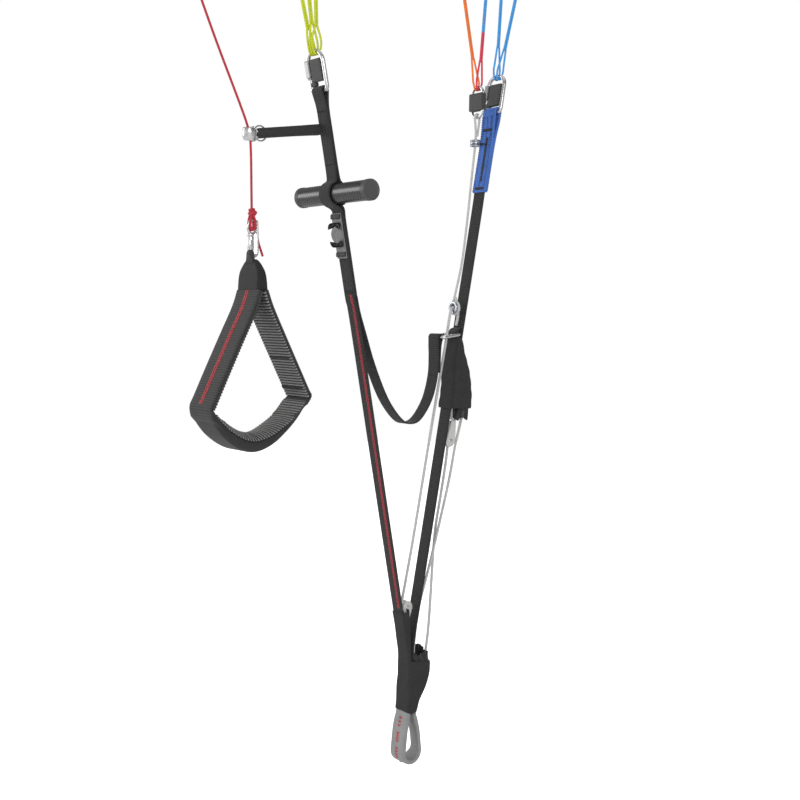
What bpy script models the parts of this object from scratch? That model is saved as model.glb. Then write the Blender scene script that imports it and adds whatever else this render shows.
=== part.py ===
"""A paraglider's riser set, one side: main loop, two risers, speed system, brake handle and line ends.

Metres, +Z up along the hang, +X towards the front riser, Y across the webbing. The origin is the inner
bottom of the main loop, where the carabiner bears.
"""

import math

import bmesh
import bpy
from mathutils import Vector

# Webbing
WEB_WIDTH = 0.012
WEB_THICK = 0.0016
GAP = 0.0003

# The two risers are straight: x = foot + lean * (z - foot_z)
REAR_FOOT, REAR_FOOT_Z, REAR_LEAN = -0.0089, 0.124, -0.186
FRONT_FOOT, FRONT_FOOT_Z, FRONT_LEAN = 0.0098, 0.1205, 0.2108
RISER_FLOOR_Z = 0.0502
REAR_TOP_Z = 0.5150
FRONT_TOP_Z = 0.5190
TAIL_END_Z = 0.372

# Main loop
LOOP_WIDTH, LOOP_THICK = 0.014, 0.0026
LOOP_HALF_GAP = 0.007

# Joint places
BRAKE_RING = Vector((-0.1425, 0, 0.4790))
BRAKE_PIVOT = Vector((-0.1412, 0, 0.4745))
SWIVEL_PIVOT = Vector((-0.1412, 0, 0.4105))
HANDLE_PIVOT = Vector((-0.1412, 0, 0.3975))
ROLL_CENTRE = Vector((-0.0700, -0.0022, 0.4425))
ROLL_RADIUS, ROLL_HALF = 0.0080, 0.0420
ROLL_CAP_LENGTH = 0.0045

# Pulleys: name, x, z, wheel radius
PULLEYS = {
    "floating": (0.0455, 0.2512, 0.0046),
    "upper": (0.0566, 0.2955, 0.0066),
    "lower": (0.0125, 0.0632, 0.0045),
    "guide": (-0.0006, 0.1215, 0.0046),
}
WHEEL_THICK = 0.0036
CHEEK_THICK = 0.0010
PIN_RADIUS = 0.0011
WHEEL_GROOVE = 0.0013

LINE_RADIUS = 0.00080
SPEED_RADIUS = 0.00115
BRAKE_RADIUS = 0.00085

MATERIALS = {
    "webbing": ((0.048, 0.048, 0.050), 0.80, 0.0),
    "loop_webbing": ((0.275, 0.280, 0.285), 0.80, 0.0),
    "neoprene": ((0.040, 0.040, 0.042), 0.85, 0.0),
    "blue_webbing": ((0.070, 0.155, 0.480), 0.75, 0.0),
    "steel": ((0.700, 0.700, 0.700), 0.22, 1.0),
    "aluminium": ((0.520, 0.530, 0.550), 0.30, 1.0),
    "black_rubber": ((0.012, 0.012, 0.012), 0.60, 0.0),
    "grey_plastic": ((0.530, 0.530, 0.530), 0.45, 0.0),
    "keeper_plastic": ((0.130, 0.130, 0.130), 0.60, 0.0),
    "speed_cord": ((0.480, 0.480, 0.480), 0.80, 0.0),
    "green_line": ((0.460, 0.580, 0.015), 0.60, 0.0),
    "blue_line": ((0.040, 0.240, 0.620), 0.60, 0.0),
    "orange_line": ((0.850, 0.160, 0.030), 0.60, 0.0),
    "crimson_line": ((0.640, 0.060, 0.100), 0.60, 0.0),
    "brake_line": ((0.480, 0.022, 0.032), 0.60, 0.0),
    "carbon": ((0.030, 0.030, 0.032), 0.18, 0.0),
    "cap_plastic": ((0.070, 0.070, 0.070), 0.50, 0.0),
    "grip": ((0.060, 0.060, 0.060), 0.75, 0.0),
}


def rear_x(z):
    return REAR_FOOT + REAR_LEAN * (z - REAR_FOOT_Z)


def front_x(z):
    return FRONT_FOOT + FRONT_LEAN * (z - FRONT_FOOT_Z)


# Each moving body's pivot, and the body that carries it
BODIES = {
    "riser": (Vector((0, 0, 0)), None),
    "brake_line": (BRAKE_PIVOT, "riser"),
    "swivel": (SWIVEL_PIVOT, "brake_line"),
    "brake_handle": (HANDLE_PIVOT, "swivel"),
    "roll_handle": (ROLL_CENTRE, "riser"),
    "rear_lines": (Vector((rear_x(REAR_TOP_Z), 0, REAR_TOP_Z)), "riser"),
    "front_lines": (Vector((front_x(FRONT_TOP_Z), 0, FRONT_TOP_Z)), "riser"),
    "outer_lines": (Vector((0.0764, 0, 0.5133)), "riser"),
}
for pulley, (wheel_x, wheel_z, _) in PULLEYS.items():
    BODIES[pulley + "_wheel"] = (Vector((wheel_x, 0, wheel_z)), "riser")


def clear_scene():
    for obj in list(bpy.data.objects):
        bpy.data.objects.remove(obj, do_unlink=True)


def make_materials():
    for name, (colour, roughness, metallic) in MATERIALS.items():
        material = bpy.data.materials.new(name)
        material.use_nodes = True
        shader = material.node_tree.nodes["Principled BSDF"]
        shader.inputs["Base Color"].default_value = (*colour, 1)
        shader.inputs["Roughness"].default_value = roughness
        shader.inputs["Metallic"].default_value = metallic


def make_bodies():
    for name, (pivot, parent) in BODIES.items():
        empty = bpy.data.objects.new("body_" + name, None)
        bpy.context.scene.collection.objects.link(empty)
        if parent:
            empty.parent = bpy.data.objects["body_" + parent]
            empty.location = pivot - BODIES[parent][0]


def place(name, data, body, material):
    """One named object from mesh or curve data that is in the body's own coordinates."""
    obj = bpy.data.objects.new(name, data)
    bpy.context.scene.collection.objects.link(obj)
    obj.parent = bpy.data.objects["body_" + body]
    data.materials.append(bpy.data.materials[material])
    return obj


def solid(name, rings, body, material, closed=False, smooth=None):
    """A skin over rings of points with the same count, each ring closed. Open runs get end caps."""
    pivot = BODIES[body][0]
    mesh = bmesh.new()
    verts = [[mesh.verts.new(Vector(point) - pivot) for point in ring] for ring in rings]
    pairs = list(zip(verts, verts[1:]))
    if closed:
        pairs.append((verts[-1], verts[0]))
    for first, second in pairs:
        count = len(first)
        for i in range(count):
            j = (i + 1) % count
            mesh.faces.new((first[i], first[j], second[j], second[i]))
    if not closed:
        mesh.faces.new(verts[0])
        mesh.faces.new(verts[-1])
    bmesh.ops.recalc_face_normals(mesh, faces=mesh.faces)
    data = bpy.data.meshes.new(name)
    mesh.to_mesh(data)
    mesh.free()
    if data.polygons and signed_volume(data) < 0:
        data.flip_normals()
    if smooth:
        data.shade_smooth()
        data.set_sharp_from_angle(angle=math.radians(smooth))
    return place(name, data, body, material)


def signed_volume(data):
    total = 0.0
    data.calc_loop_triangles()
    for triangle in data.loop_triangles:
        a, b, c = (data.vertices[i].co for i in triangle.vertices)
        total += a.dot(b.cross(c))
    return total


def smooth_path(points, steps=5, closed=False):
    """Points along a smooth curve through the given ones."""
    points = [Vector(point) for point in points]
    count = len(points)
    out = []
    for i in range(count if closed else count - 1):
        p1, p2 = points[i], points[(i + 1) % count]
        p0 = points[(i - 1) % count] if closed or i else p1 * 2 - p2
        p3 = points[(i + 2) % count] if closed or i + 2 < count else p2 * 2 - p1
        for step in range(steps):
            t = step / steps
            out.append(
                0.5 * ((2 * p1) + (p2 - p0) * t + (2 * p0 - 5 * p1 + 4 * p2 - p3) * t * t
                       + (3 * p1 - p0 - 3 * p2 + p3) * t ** 3)
            )
    if not closed:
        out.append(points[-1])
    return out


def ribbon(name, path, width, thick, body, material, plane="XZ", centre=0.0, closed=False):
    """Flat webbing along a 2-D path. In plane XZ its width is along Y, in plane XY it is along Z.

    width and thick are numbers, or functions of the share of the path, from 0 to 1.
    """
    points = [Vector((point[0], point[1])) for point in path]
    count = len(points)
    rings = []
    for i, point in enumerate(points):
        before = points[i - 1] if i or closed else point
        after = points[(i + 1) % count] if i + 1 < count or closed else point
        along = (after - before).normalized()
        normal = Vector((-along.y, along.x))
        share = i / max(count - 1, 1)
        half_w = (width(share) if callable(width) else width) / 2
        half_t = (thick(share) if callable(thick) else thick) / 2
        outer, inner = point + normal * half_t, point - normal * half_t
        corners = ((outer, half_w), (outer, -half_w), (inner, -half_w), (inner, half_w))
        if plane == "XZ":
            rings.append([(p.x, centre + side, p.y) for p, side in corners])
        else:
            rings.append([(p.x, p.y, centre + side) for p, side in corners])
    return solid(name, rings, body, material, closed=closed, smooth=35)


def rod(name, path, radius, body, material, sides=10, closed=False, smooth=40):
    """A round bar along a 3-D path. radius is a number, or a function of the share of the path."""
    points = [Vector(point) for point in path]
    count = len(points)
    reference = None
    rings = []
    for i, point in enumerate(points):
        before = points[i - 1] if i or closed else point
        after = points[(i + 1) % count] if i + 1 < count or closed else point
        along = (after - before).normalized()
        if reference is None:
            reference = along.orthogonal().normalized()
        reference = (reference - along * reference.dot(along)).normalized()
        across = along.cross(reference)
        size = radius(i / max(count - 1, 1)) if callable(radius) else radius
        rings.append([
            point + size * (math.cos(turn) * reference + math.sin(turn) * across)
            for turn in (2 * math.pi * k / sides for k in range(sides))
        ])
    return solid(name, rings, body, material, closed=closed, smooth=smooth)


def turned(name, centre, axis, profile, body, material, segments=24, smooth=30):
    """A body turned round an axis through centre. profile: (radius, distance along the axis), a closed loop."""
    axis = Vector(axis).normalized()
    side = axis.orthogonal().normalized()
    other = axis.cross(side)
    rings = []
    for k in range(segments):
        turn = 2 * math.pi * k / segments
        out = math.cos(turn) * side + math.sin(turn) * other
        rings.append([Vector(centre) + out * radius + axis * along for radius, along in profile])
    return solid(name, rings, body, material, closed=True, smooth=smooth)


def barrel(name, centre, axis, profile, body, material, segments=20, smooth=30):
    """A solid of revolution. profile: (radius, distance along the axis) from one end to the other."""
    axis = Vector(axis).normalized()
    side = axis.orthogonal().normalized()
    other = axis.cross(side)
    rings = [
        [
            Vector(centre) + axis * along
            + radius * (math.cos(turn) * side + math.sin(turn) * other)
            for turn in (2 * math.pi * k / segments for k in range(segments))
        ]
        for radius, along in profile
    ]
    return solid(name, rings, body, material, smooth=smooth)


def cord(name, path, radius, body, material, resolution=2):
    """A cord as a curve with a round bevel and filled ends."""
    pivot = BODIES[body][0]
    curve = bpy.data.curves.new(name, "CURVE")
    curve.dimensions = "3D"
    curve.bevel_depth = radius
    curve.bevel_resolution = resolution
    curve.use_fill_caps = True
    spline = curve.splines.new("POLY")
    spline.points.add(len(path) - 1)
    for point, place_in_path in zip(spline.points, path):
        point.co = (*(Vector(place_in_path) - pivot), 1)
    return place(name, curve, body, material)


def rounded_box_ring(x0, x1, half_y, z, corner, steps=3):
    """A closed outline with round corners, level at height z."""
    middle, half_x = (x0 + x1) / 2, (x1 - x0) / 2
    corner = min(corner, half_x * 0.98, half_y * 0.98)
    ring = []
    for quarter, (sx, sy) in enumerate(((1, 1), (-1, 1), (-1, -1), (1, -1))):
        for step in range(steps + 1):
            turn = math.radians(90 * (quarter + step / steps))
            ring.append((
                middle + sx * (half_x - corner) + corner * math.cos(turn),
                sy * (half_y - corner) + corner * math.sin(turn),
                z,
            ))
    return ring


def cut(target, cutter):
    """Takes a hidden helper's shape out of a piece."""
    cutter.hide_render = True
    cutter.display_type = "WIRE"
    modifier = target.modifiers.new("cut_" + cutter.name, "BOOLEAN")
    modifier.operation = "DIFFERENCE"
    modifier.object = cutter


def join(target, other):
    """Fuses a hidden helper's shape to a piece."""
    other.hide_render = True
    other.display_type = "WIRE"
    modifier = target.modifiers.new("join_" + other.name, "BOOLEAN")
    modifier.operation = "UNION"
    modifier.object = other


def arc(centre, radius, start, end, steps):
    """Points on an arc in a 2-D plane, angles in degrees."""
    return [
        (centre[0] + radius * math.cos(math.radians(start + (end - start) * k / steps)),
         centre[1] + radius * math.sin(math.radians(start + (end - start) * k / steps)))
        for k in range(steps + 1)
    ]


def smooth_2d(points, steps=5, closed=False):
    return [(p[0], p[1]) for p in smooth_path([(x, z, 0) for x, z in points], steps, closed)]


def make_main_loop():
    """The padded loop that hangs in the carabiner: a U whose legs close up under the cover."""
    bottom = arc((0, LOOP_HALF_GAP), LOOP_HALF_GAP + LOOP_THICK / 2, 180, 360, 12)
    leg = [(-0.0016, 0.0496), (-0.0017, 0.0430), (-0.0030, 0.0345), (-0.0064, 0.0210), bottom[0]]
    left = smooth_2d(leg, 3)
    right = [(-x, z) for x, z in reversed(left)]
    path = left[:-1] + bottom + right[1:]
    ribbon("main_loop", path, LOOP_WIDTH, LOOP_THICK, "riser", "loop_webbing")


def make_risers():
    """Webbing up to each maillon, folded over its bar and sewn back on itself."""
    layer = WEB_THICK / 2 + GAP / 2
    wrap = ROLL_RADIUS + 0.0006 + WEB_THICK / 2

    # Rear: up on the pilot's side, round the roll handle, over the bar, and back down in front
    foot = [(-0.0017, RISER_FLOOR_Z), (-0.0019, 0.0620), (rear_x(0.0900) - 0.0002, 0.0900)]
    rise = [(rear_x(z), z) for z in (0.1400, 0.2500, 0.3500)]
    rise += [(rear_x(z) - layer, z) for z in (TAIL_END_Z, 0.4230)]
    bulge_back = roll_bulge(-1, wrap, layer)
    upper = [(rear_x(z) - layer, z) for z in (0.4680, 0.4850, 0.5030)]
    bar = (rear_x(REAR_TOP_Z), REAR_TOP_Z)
    turn = arc(bar, 0.0029, 190, -10, 8)
    down = [(rear_x(z) + layer, z) for z in (0.5030, 0.4850, 0.4680)]
    bulge_front = list(reversed(roll_bulge(1, wrap, layer)))
    tail = [(rear_x(z) + layer, z) for z in (0.4230, 0.4000, TAIL_END_Z)]
    path = (
        smooth_2d(foot + rise, 3) + bulge_back + upper + turn + down + bulge_front + tail
    )
    ribbon("rear_riser", path, WEB_WIDTH, WEB_THICK, "riser", "webbing")

    # Front: up to the bar, over it, and back down inside the coloured sleeve
    foot = [(0.0017, RISER_FLOOR_Z), (0.0019, 0.0620), (front_x(0.0900) + 0.0002, 0.0900)]
    rise = [(front_x(z), z) for z in (0.1400, 0.2900, 0.4380)]
    rise += [(front_x(z) - layer, z) for z in (0.4560, 0.5060)]
    bar = (front_x(FRONT_TOP_Z), FRONT_TOP_Z)
    turn = arc(bar, 0.0029, 170, -10, 8)
    down = [(front_x(z) + layer, z) for z in (0.5060, 0.4810, 0.4640)]
    ribbon("front_riser", smooth_2d(foot + rise, 3) + turn + down, WEB_WIDTH, WEB_THICK, "riser", "webbing")


def roll_bulge(side, wrap, layer):
    """One webbing layer's way round the roll handle, from below to above. side: -1 back, 1 front."""
    x, z = ROLL_CENTRE.x, ROLL_CENTRE.z
    reach = 0.0125
    points = []
    for k in range(9):
        turn = math.radians(-62 + 124 * k / 8)
        points.append((x + side * wrap * math.cos(turn), z + wrap * math.sin(turn)))
    low = (rear_x(z - reach) + side * (layer + 0.0004), z - reach)
    high = (rear_x(z + reach) + side * (layer + 0.0004), z + reach)
    return [low] + points + [high]


def make_sleeve():
    """The coloured sleeve over the front riser's doubled top, open at both ends."""
    wall = 0.0009
    snug = WEB_THICK + GAP / 2 + GAP
    half_y = WEB_WIDTH / 2 + GAP + wall
    # height, half depth inside
    sections = ((0.4535, snug), (0.4900, snug), (0.5040, snug + 0.0002), (0.5105, 0.0036), (0.5160, 0.0042))
    rings_out, rings_in = [], []
    for z, inner in sections:
        x = front_x(z)
        rings_out.append(rounded_box_ring(x - inner - wall, x + inner + wall, half_y, z, 0.0012))
        rings_in.append(rounded_box_ring(x - inner, x + inner, half_y - wall, z, 0.0004))
    past = 0.004
    for ring, shift in ((rings_in[0], -past), (rings_in[-1], past)):
        ring[:] = [(x + FRONT_LEAN * shift, y, z + shift) for x, y, z in ring]
    rings_in.insert(1, rounded_box_ring(
        front_x(0.4540) - snug, front_x(0.4540) + snug, half_y - wall, 0.4540, 0.0004))
    sleeve = solid("front_sleeve", rings_out, "riser", "blue_webbing", smooth=35)
    cut(sleeve, solid("sleeve_hollow", rings_in, "riser", "blue_webbing"))


def box_tube(name, sections, corner):
    """A skin over level box sections with round corners: height, back x, front x, half width."""
    rings = [rounded_box_ring(x0, x1, half_y, z, corner) for z, x0, x1, half_y in sections]
    return solid(name, rings, "riser", "neoprene", smooth=50)


def make_covers():
    """Two padded sleeves, each with a pocket in front for a pulley."""
    lower = box_tube("lower_cover", (
        (0.0345, -0.0060, 0.0060, 0.0084),
        (0.0450, -0.0056, 0.0088, 0.0086),
        (0.0560, -0.0050, 0.0184, 0.0088),
        (0.0660, -0.0048, 0.0212, 0.0088),
        (0.0745, -0.0050, 0.0226, 0.0088),
    ), 0.0026)
    # The arm that runs on up round the rear riser
    join(lower, box_tube("cover_arm", (
        (0.0600, -0.0047, 0.0020, 0.0080),
        (0.0850, -0.0057, 0.0022, 0.0078),
        (0.1040, -0.0092, 0.0026, 0.0076),
        (0.1205, -0.0122, 0.0032, 0.0076),
    ), 0.0024))
    cut(lower, box_tube("cover_hollow", (
        (0.0300, -0.0052, 0.0052, 0.0074),
        (0.0400, -0.0048, 0.0048, 0.0074),
        (0.0490, -0.0040, 0.0044, 0.0074),
        (0.0540, -0.0038, 0.0160, 0.0074),
        (0.0580, -0.0038, 0.0182, 0.0076),
        (0.0660, -0.0036, 0.0202, 0.0076),
        (0.0800, -0.0038, 0.0226, 0.0076),
    ), 0.0010))
    cut(lower, box_tube("arm_hollow", (
        (0.0650, -0.0036, 0.0060, 0.0065),
        (0.0850, -0.0045, 0.0060, 0.0065),
        (0.1040, -0.0080, 0.0060, 0.0065),
        (0.1240, -0.0117, 0.0080, 0.0065),
    ), 0.0010))

    # The upper cover is snug on the front riser and swells in front: height, front x, half width
    swell = (
        (0.2790, 0.0650, 0.0088), (0.2880, 0.0662, 0.0088), (0.2990, 0.0658, 0.0087),
        (0.3110, 0.0632, 0.0083), (0.3230, 0.0606, 0.0079), (0.3322, 0.0592, 0.0077),
    )
    back, wall = 0.0040, 0.0012
    upper = box_tube("upper_cover", [(z, front_x(z) - back, x, w) for z, x, w in swell], 0.0026)
    hollow = [(z, front_x(z) - back + wall, x - wall, w - wall) for z, x, w in swell]
    past = 0.006
    z, x0, x1, w = hollow[0]
    hollow.insert(0, (z - past, x0 - FRONT_LEAN * past, x1, w))
    z, x0, x1, w = hollow[-1]
    hollow.append((z + past, x0 + FRONT_LEAN * past, x1 + FRONT_LEAN * past, w))
    cut(upper, box_tube("upper_hollow", hollow, 0.0010))


# The oval link ring: bars' places, and its rise towards the front
LINK_BACK_X, LINK_FRONT_X = 0.0316, 0.0500
LINK_Z, LINK_RISE = 0.3358, 0.114
LINK_WIRE = 0.0011


def make_link_strap():
    """Flat webbing from the rear riser's front face, hanging slack up to the link ring."""
    thick = 0.0014
    face = (WEB_THICK + thick) / 2 + GAP
    layer = WEB_THICK / 2 + GAP / 2
    hung = [
        (rear_x(0.3690) - layer * 0.8 + face, 0.3690),
        (rear_x(0.3560) + face, 0.3560),
        (-0.0440, 0.3380),
        (-0.0363, 0.3167),
        (-0.0234, 0.2900),
        (-0.0093, 0.2730),
        (0.0011, 0.2690),
        (0.0110, 0.2722),
        (0.0222, 0.2865),
        (0.0283, 0.3050),
        (0.0294, 0.3200),
        (0.0290, 0.3318),
    ]
    wrap = LINK_WIRE + thick / 2 + GAP
    fold = arc((LINK_BACK_X, LINK_Z), wrap + 0.0003, 170, -10, 7)
    back = [(0.0338, 0.3290), (0.0330, 0.3180), (0.0315, 0.3065)]
    path = smooth_2d(hung, 4)[:-1] + fold + back
    ribbon("link_strap", path, WEB_WIDTH, thick, "riser", "webbing")


def make_link_ring():
    """The oval steel ring that joins the link strap to the front riser's tab."""
    half_y, corner = 0.0090, 0.0028
    path = []
    for sx, sy, start in ((1, 1, 0), (-1, 1, 90), (-1, -1, 180), (1, -1, 270)):
        cx = (LINK_FRONT_X - corner) if sx > 0 else (LINK_BACK_X + corner)
        for k in range(4):
            turn = math.radians(start + 90 * k / 3)
            x = cx + corner * math.cos(turn)
            y = sy * (half_y - corner) + corner * math.sin(turn)
            path.append((x, y, LINK_Z + LINK_RISE * (x - LINK_BACK_X)))
    rod("link_ring", path, LINK_WIRE, "riser", "steel", sides=10, closed=True)

    # The tab: sewn to the front riser's back face, round the ring's front bar
    bar = (LINK_FRONT_X, LINK_Z + LINK_RISE * (LINK_FRONT_X - LINK_BACK_X))
    thick = 0.0010
    wrap = LINK_WIRE + thick / 2 + GAP
    path = [(0.0544, 0.3440), (0.0528, 0.3428)] + arc(bar, wrap, 75, 285, 7) + [(0.0524, 0.3354), (0.0530, 0.3344)]
    ribbon("ring_tab", path, 0.0105, thick, "riser", "webbing")


def make_pulleys():
    """Each pulley is a wheel between two cheeks that are joined by its pin and a bridge."""
    # name, reach from the wheel's centre to the far end, side of the bridge (1 above), cheek radius, lean
    blocks = (
        ("floating", 0.0180, 1, 0.0056, FRONT_LEAN),
        ("upper", 0.0118, 1, 0.0050, 0.0),
        ("lower", 0.0086, -1, 0.0043, 0.0),
        ("guide", 0.0094, -1, 0.0053, 0.0),
    )
    for name, reach, side, cheek, lean in blocks:
        x, z, wheel = PULLEYS[name]
        centre = Vector((x, 0, z))
        half = WHEEL_THICK / 2
        bore = PIN_RADIUS + GAP
        groove = wheel - WHEEL_GROOVE
        turned(
            name + "_wheel", centre, (0, 1, 0),
            ((bore, -half), (wheel, -half), (wheel, -half + 0.0003), (groove, -0.0009),
             (groove, 0.0009), (wheel, half - 0.0003), (wheel, half), (bore, half)),
            name + "_wheel", "grey_plastic", segments=16,
        )
        inner = half + 0.0004
        outer = inner + CHEEK_THICK
        outline = cheek_outline(x, z, cheek, reach, side, lean)
        plates = [
            solid(part, [[(px, y, pz) for px, pz in outline] for y in (y0, y0 + CHEEK_THICK)],
                  "riser", "grey_plastic")
            for part, y0 in ((name + "_block", -outer), (name + "_cheek", inner))
        ]
        join(plates[0], plates[1])
        rise = side * (reach - 0.0014)
        join(plates[0], barrel(
            name + "_bridge", (x + lean * rise, 0, z + rise), (0, 1, 0),
            ((0.0010, -inner - 0.0005), (0.0010, inner + 0.0005)),
            "riser", "grey_plastic", segments=10,
        ))
        join(plates[0], barrel(
            name + "_pin", centre, (0, 1, 0),
            ((PIN_RADIUS, -outer - 0.0004), (PIN_RADIUS, outer + 0.0004)),
            "riser", "grey_plastic", segments=10,
        ))


def cheek_outline(x, z, radius, reach, side, lean):
    """A drop shape: round about the wheel's pin, narrower at the bridge."""
    small = radius * 0.50
    far = side * (reach - small)
    # A stretch of arc at each end: radius, distance up, first and last angle
    if side > 0:
        stretches = ((radius, 0, 170, 370), (small, far, 10, 170))
    else:
        stretches = ((radius, 0, -10, 190), (small, far, 190, 350))
    outline = []
    for size, up, first, last in stretches:
        for px, pz in arc((0, up), size, first, last, 8):
            outline.append((x + px + lean * pz, z + pz))
    return outline


# name: body, middle of the bar that the webbing or cord folds over (x, z), lean, half width,
# half height, wire radius, sleeve wall, keeper width, depth, height and shift along Y
MAILLONS = {
    "rear_maillon": ("rear_lines", (rear_x(REAR_TOP_Z), REAR_TOP_Z), -0.20, 0.0096, 0.0160, 0.0016,
                     0.0015, (0.0140, 0.0038, 0.0165, -0.0008)),
    "front_maillon": ("front_lines", (front_x(FRONT_TOP_Z), FRONT_TOP_Z), 0.20, 0.0096, 0.0160, 0.0016,
                      0.0015, (0.0140, 0.0038, 0.0165, -0.0008)),
    "outer_maillon": ("outer_lines", (0.0764, 0.5133), 0.02, 0.0062, 0.0122, 0.0013,
                      0.0010, (0.0066, 0.0050, 0.0120, 0.0)),
}


def maillon_point(name, share):
    """A point on a maillon's middle line: share 0 at its lower bar, 1 at its upper one."""
    _, (x, z), lean, _, half_z, *_ = MAILLONS[name]
    up = Vector((lean, 0, 1)).normalized()
    return Vector((x, 0, z)) + up * (2 * half_z * share)


def make_maillons():
    """Quick links: a wire loop across the riser, flat at the lower bar, with a threaded sleeve and a keeper."""
    across = Vector((0, 1, 0))
    for name, (body, _, lean, half_y, half_z, wire, wall, keeper) in MAILLONS.items():
        centre = maillon_point(name, 0.5)
        up = Vector((lean, 0, 1)).normalized()
        path = []
        for sy, sz, start in ((1, 1, 0), (-1, 1, 90), (-1, -1, 180), (1, -1, 270)):
            corner = half_y * (0.82 if sz > 0 else 0.30)
            for k in range(5):
                turn = math.radians(start + 90 * k / 4)
                y = sy * (half_y - corner) + corner * math.cos(turn)
                h = sz * (half_z - corner) + corner * math.sin(turn)
                path.append(centre + across * y + up * h)
        rod(name, path, wire, body, "steel", sides=10, closed=True)
        hole, skin, half_nut = wire + GAP, wire + wall, half_z * 0.34
        turned(
            name + "_nut", centre + across * half_y - up * 0.0010, up,
            ((hole, -half_nut), (skin, -half_nut), (skin, half_nut), (hole, half_nut)),
            body, "steel", segments=6, smooth=20,
        )
        width, depth, height, shift = keeper
        rings = []
        for h in (-height / 2, height / 2):
            ring = rounded_box_ring(-depth / 2, depth / 2, width / 2, 0, 0.0012)
            rings.append([centre + up * h + Vector((x, y + shift, 0)) for x, y, _ in ring])
        solid(name + "_keeper", rings, body, "black_rubber", smooth=40)


def looped_line(name, maillon, head, side, body, material):
    """A suspension line with a spliced loop round its maillon's upper bar and one at its upper end.

    head is the top of the upper loop, and side the line's own place along Y.
    """
    shift = Vector((0, side, 0))
    foot = maillon_point(maillon, 1) + shift
    head = Vector(head) + shift
    along = (head - foot).normalized()
    turn_radius = MAILLONS[maillon][5] + LINE_RADIUS + 0.0004
    beside = Vector((LINE_RADIUS * 2 + GAP * 1.5, 0, 0))
    low, high = foot + along * 0.0170, head - along * 0.0140
    path = [low + beside, foot + Vector((turn_radius, 0, 0.0030))]
    for k in range(5):
        turn = math.radians(-180 * k / 4)
        path.append(foot + turn_radius * Vector((math.cos(turn), 0, math.sin(turn))))
    path += [foot + Vector((-turn_radius, 0, 0.0030)), low, low.lerp(high, 0.5), high]
    path += [high.lerp(head, 0.55) - beside * 1.2, head - beside * 0.5]
    path += [head + beside * 0.6, high.lerp(head, 0.55) + beside * 1.7, high + beside]
    cord(name, smooth_path(path, 1), LINE_RADIUS, body, material, resolution=1)


LINES = (
    # name, body, maillon, head, place along Y, material
    ("rear_line_inner", "rear_lines", "rear_maillon", (-0.1050, 0, 0.6150), 0.0022, "green_line"),
    ("rear_line_middle", "rear_lines", "rear_maillon", (-0.0960, 0, 0.6150), 0.0, "green_line"),
    ("rear_line_outer", "rear_lines", "rear_maillon", (-0.0880, 0, 0.6150), -0.0022, "green_line"),
    ("front_line_inner", "front_lines", "front_maillon", (0.1072, 0, 0.6440), 0.0016, "blue_line"),
    ("front_line_outer", "front_lines", "front_maillon", (0.1270, 0, 0.6440), -0.0016, "blue_line"),
    ("outer_line_left", "outer_lines", "outer_maillon", (0.0560, 0, 0.6360), 0.0012, "orange_line"),
    ("outer_line_right", "outer_lines", "outer_maillon", (0.0870, 0, 0.6360), -0.0012, "crimson_line"),
)


def make_lines():
    for name, body, maillon, head, side, material in LINES:
        looped_line(name, maillon, head, side, body, material)


SPEED_RING = Vector((0.0520, 0, 0.3594))
GUIDE_RING = Vector((0.0744, 0, 0.4925))
RING_OUTER, RING_GROOVE, RING_HALF, RING_BORE = 0.0048, 0.0010, 0.0021, 0.0018


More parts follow.
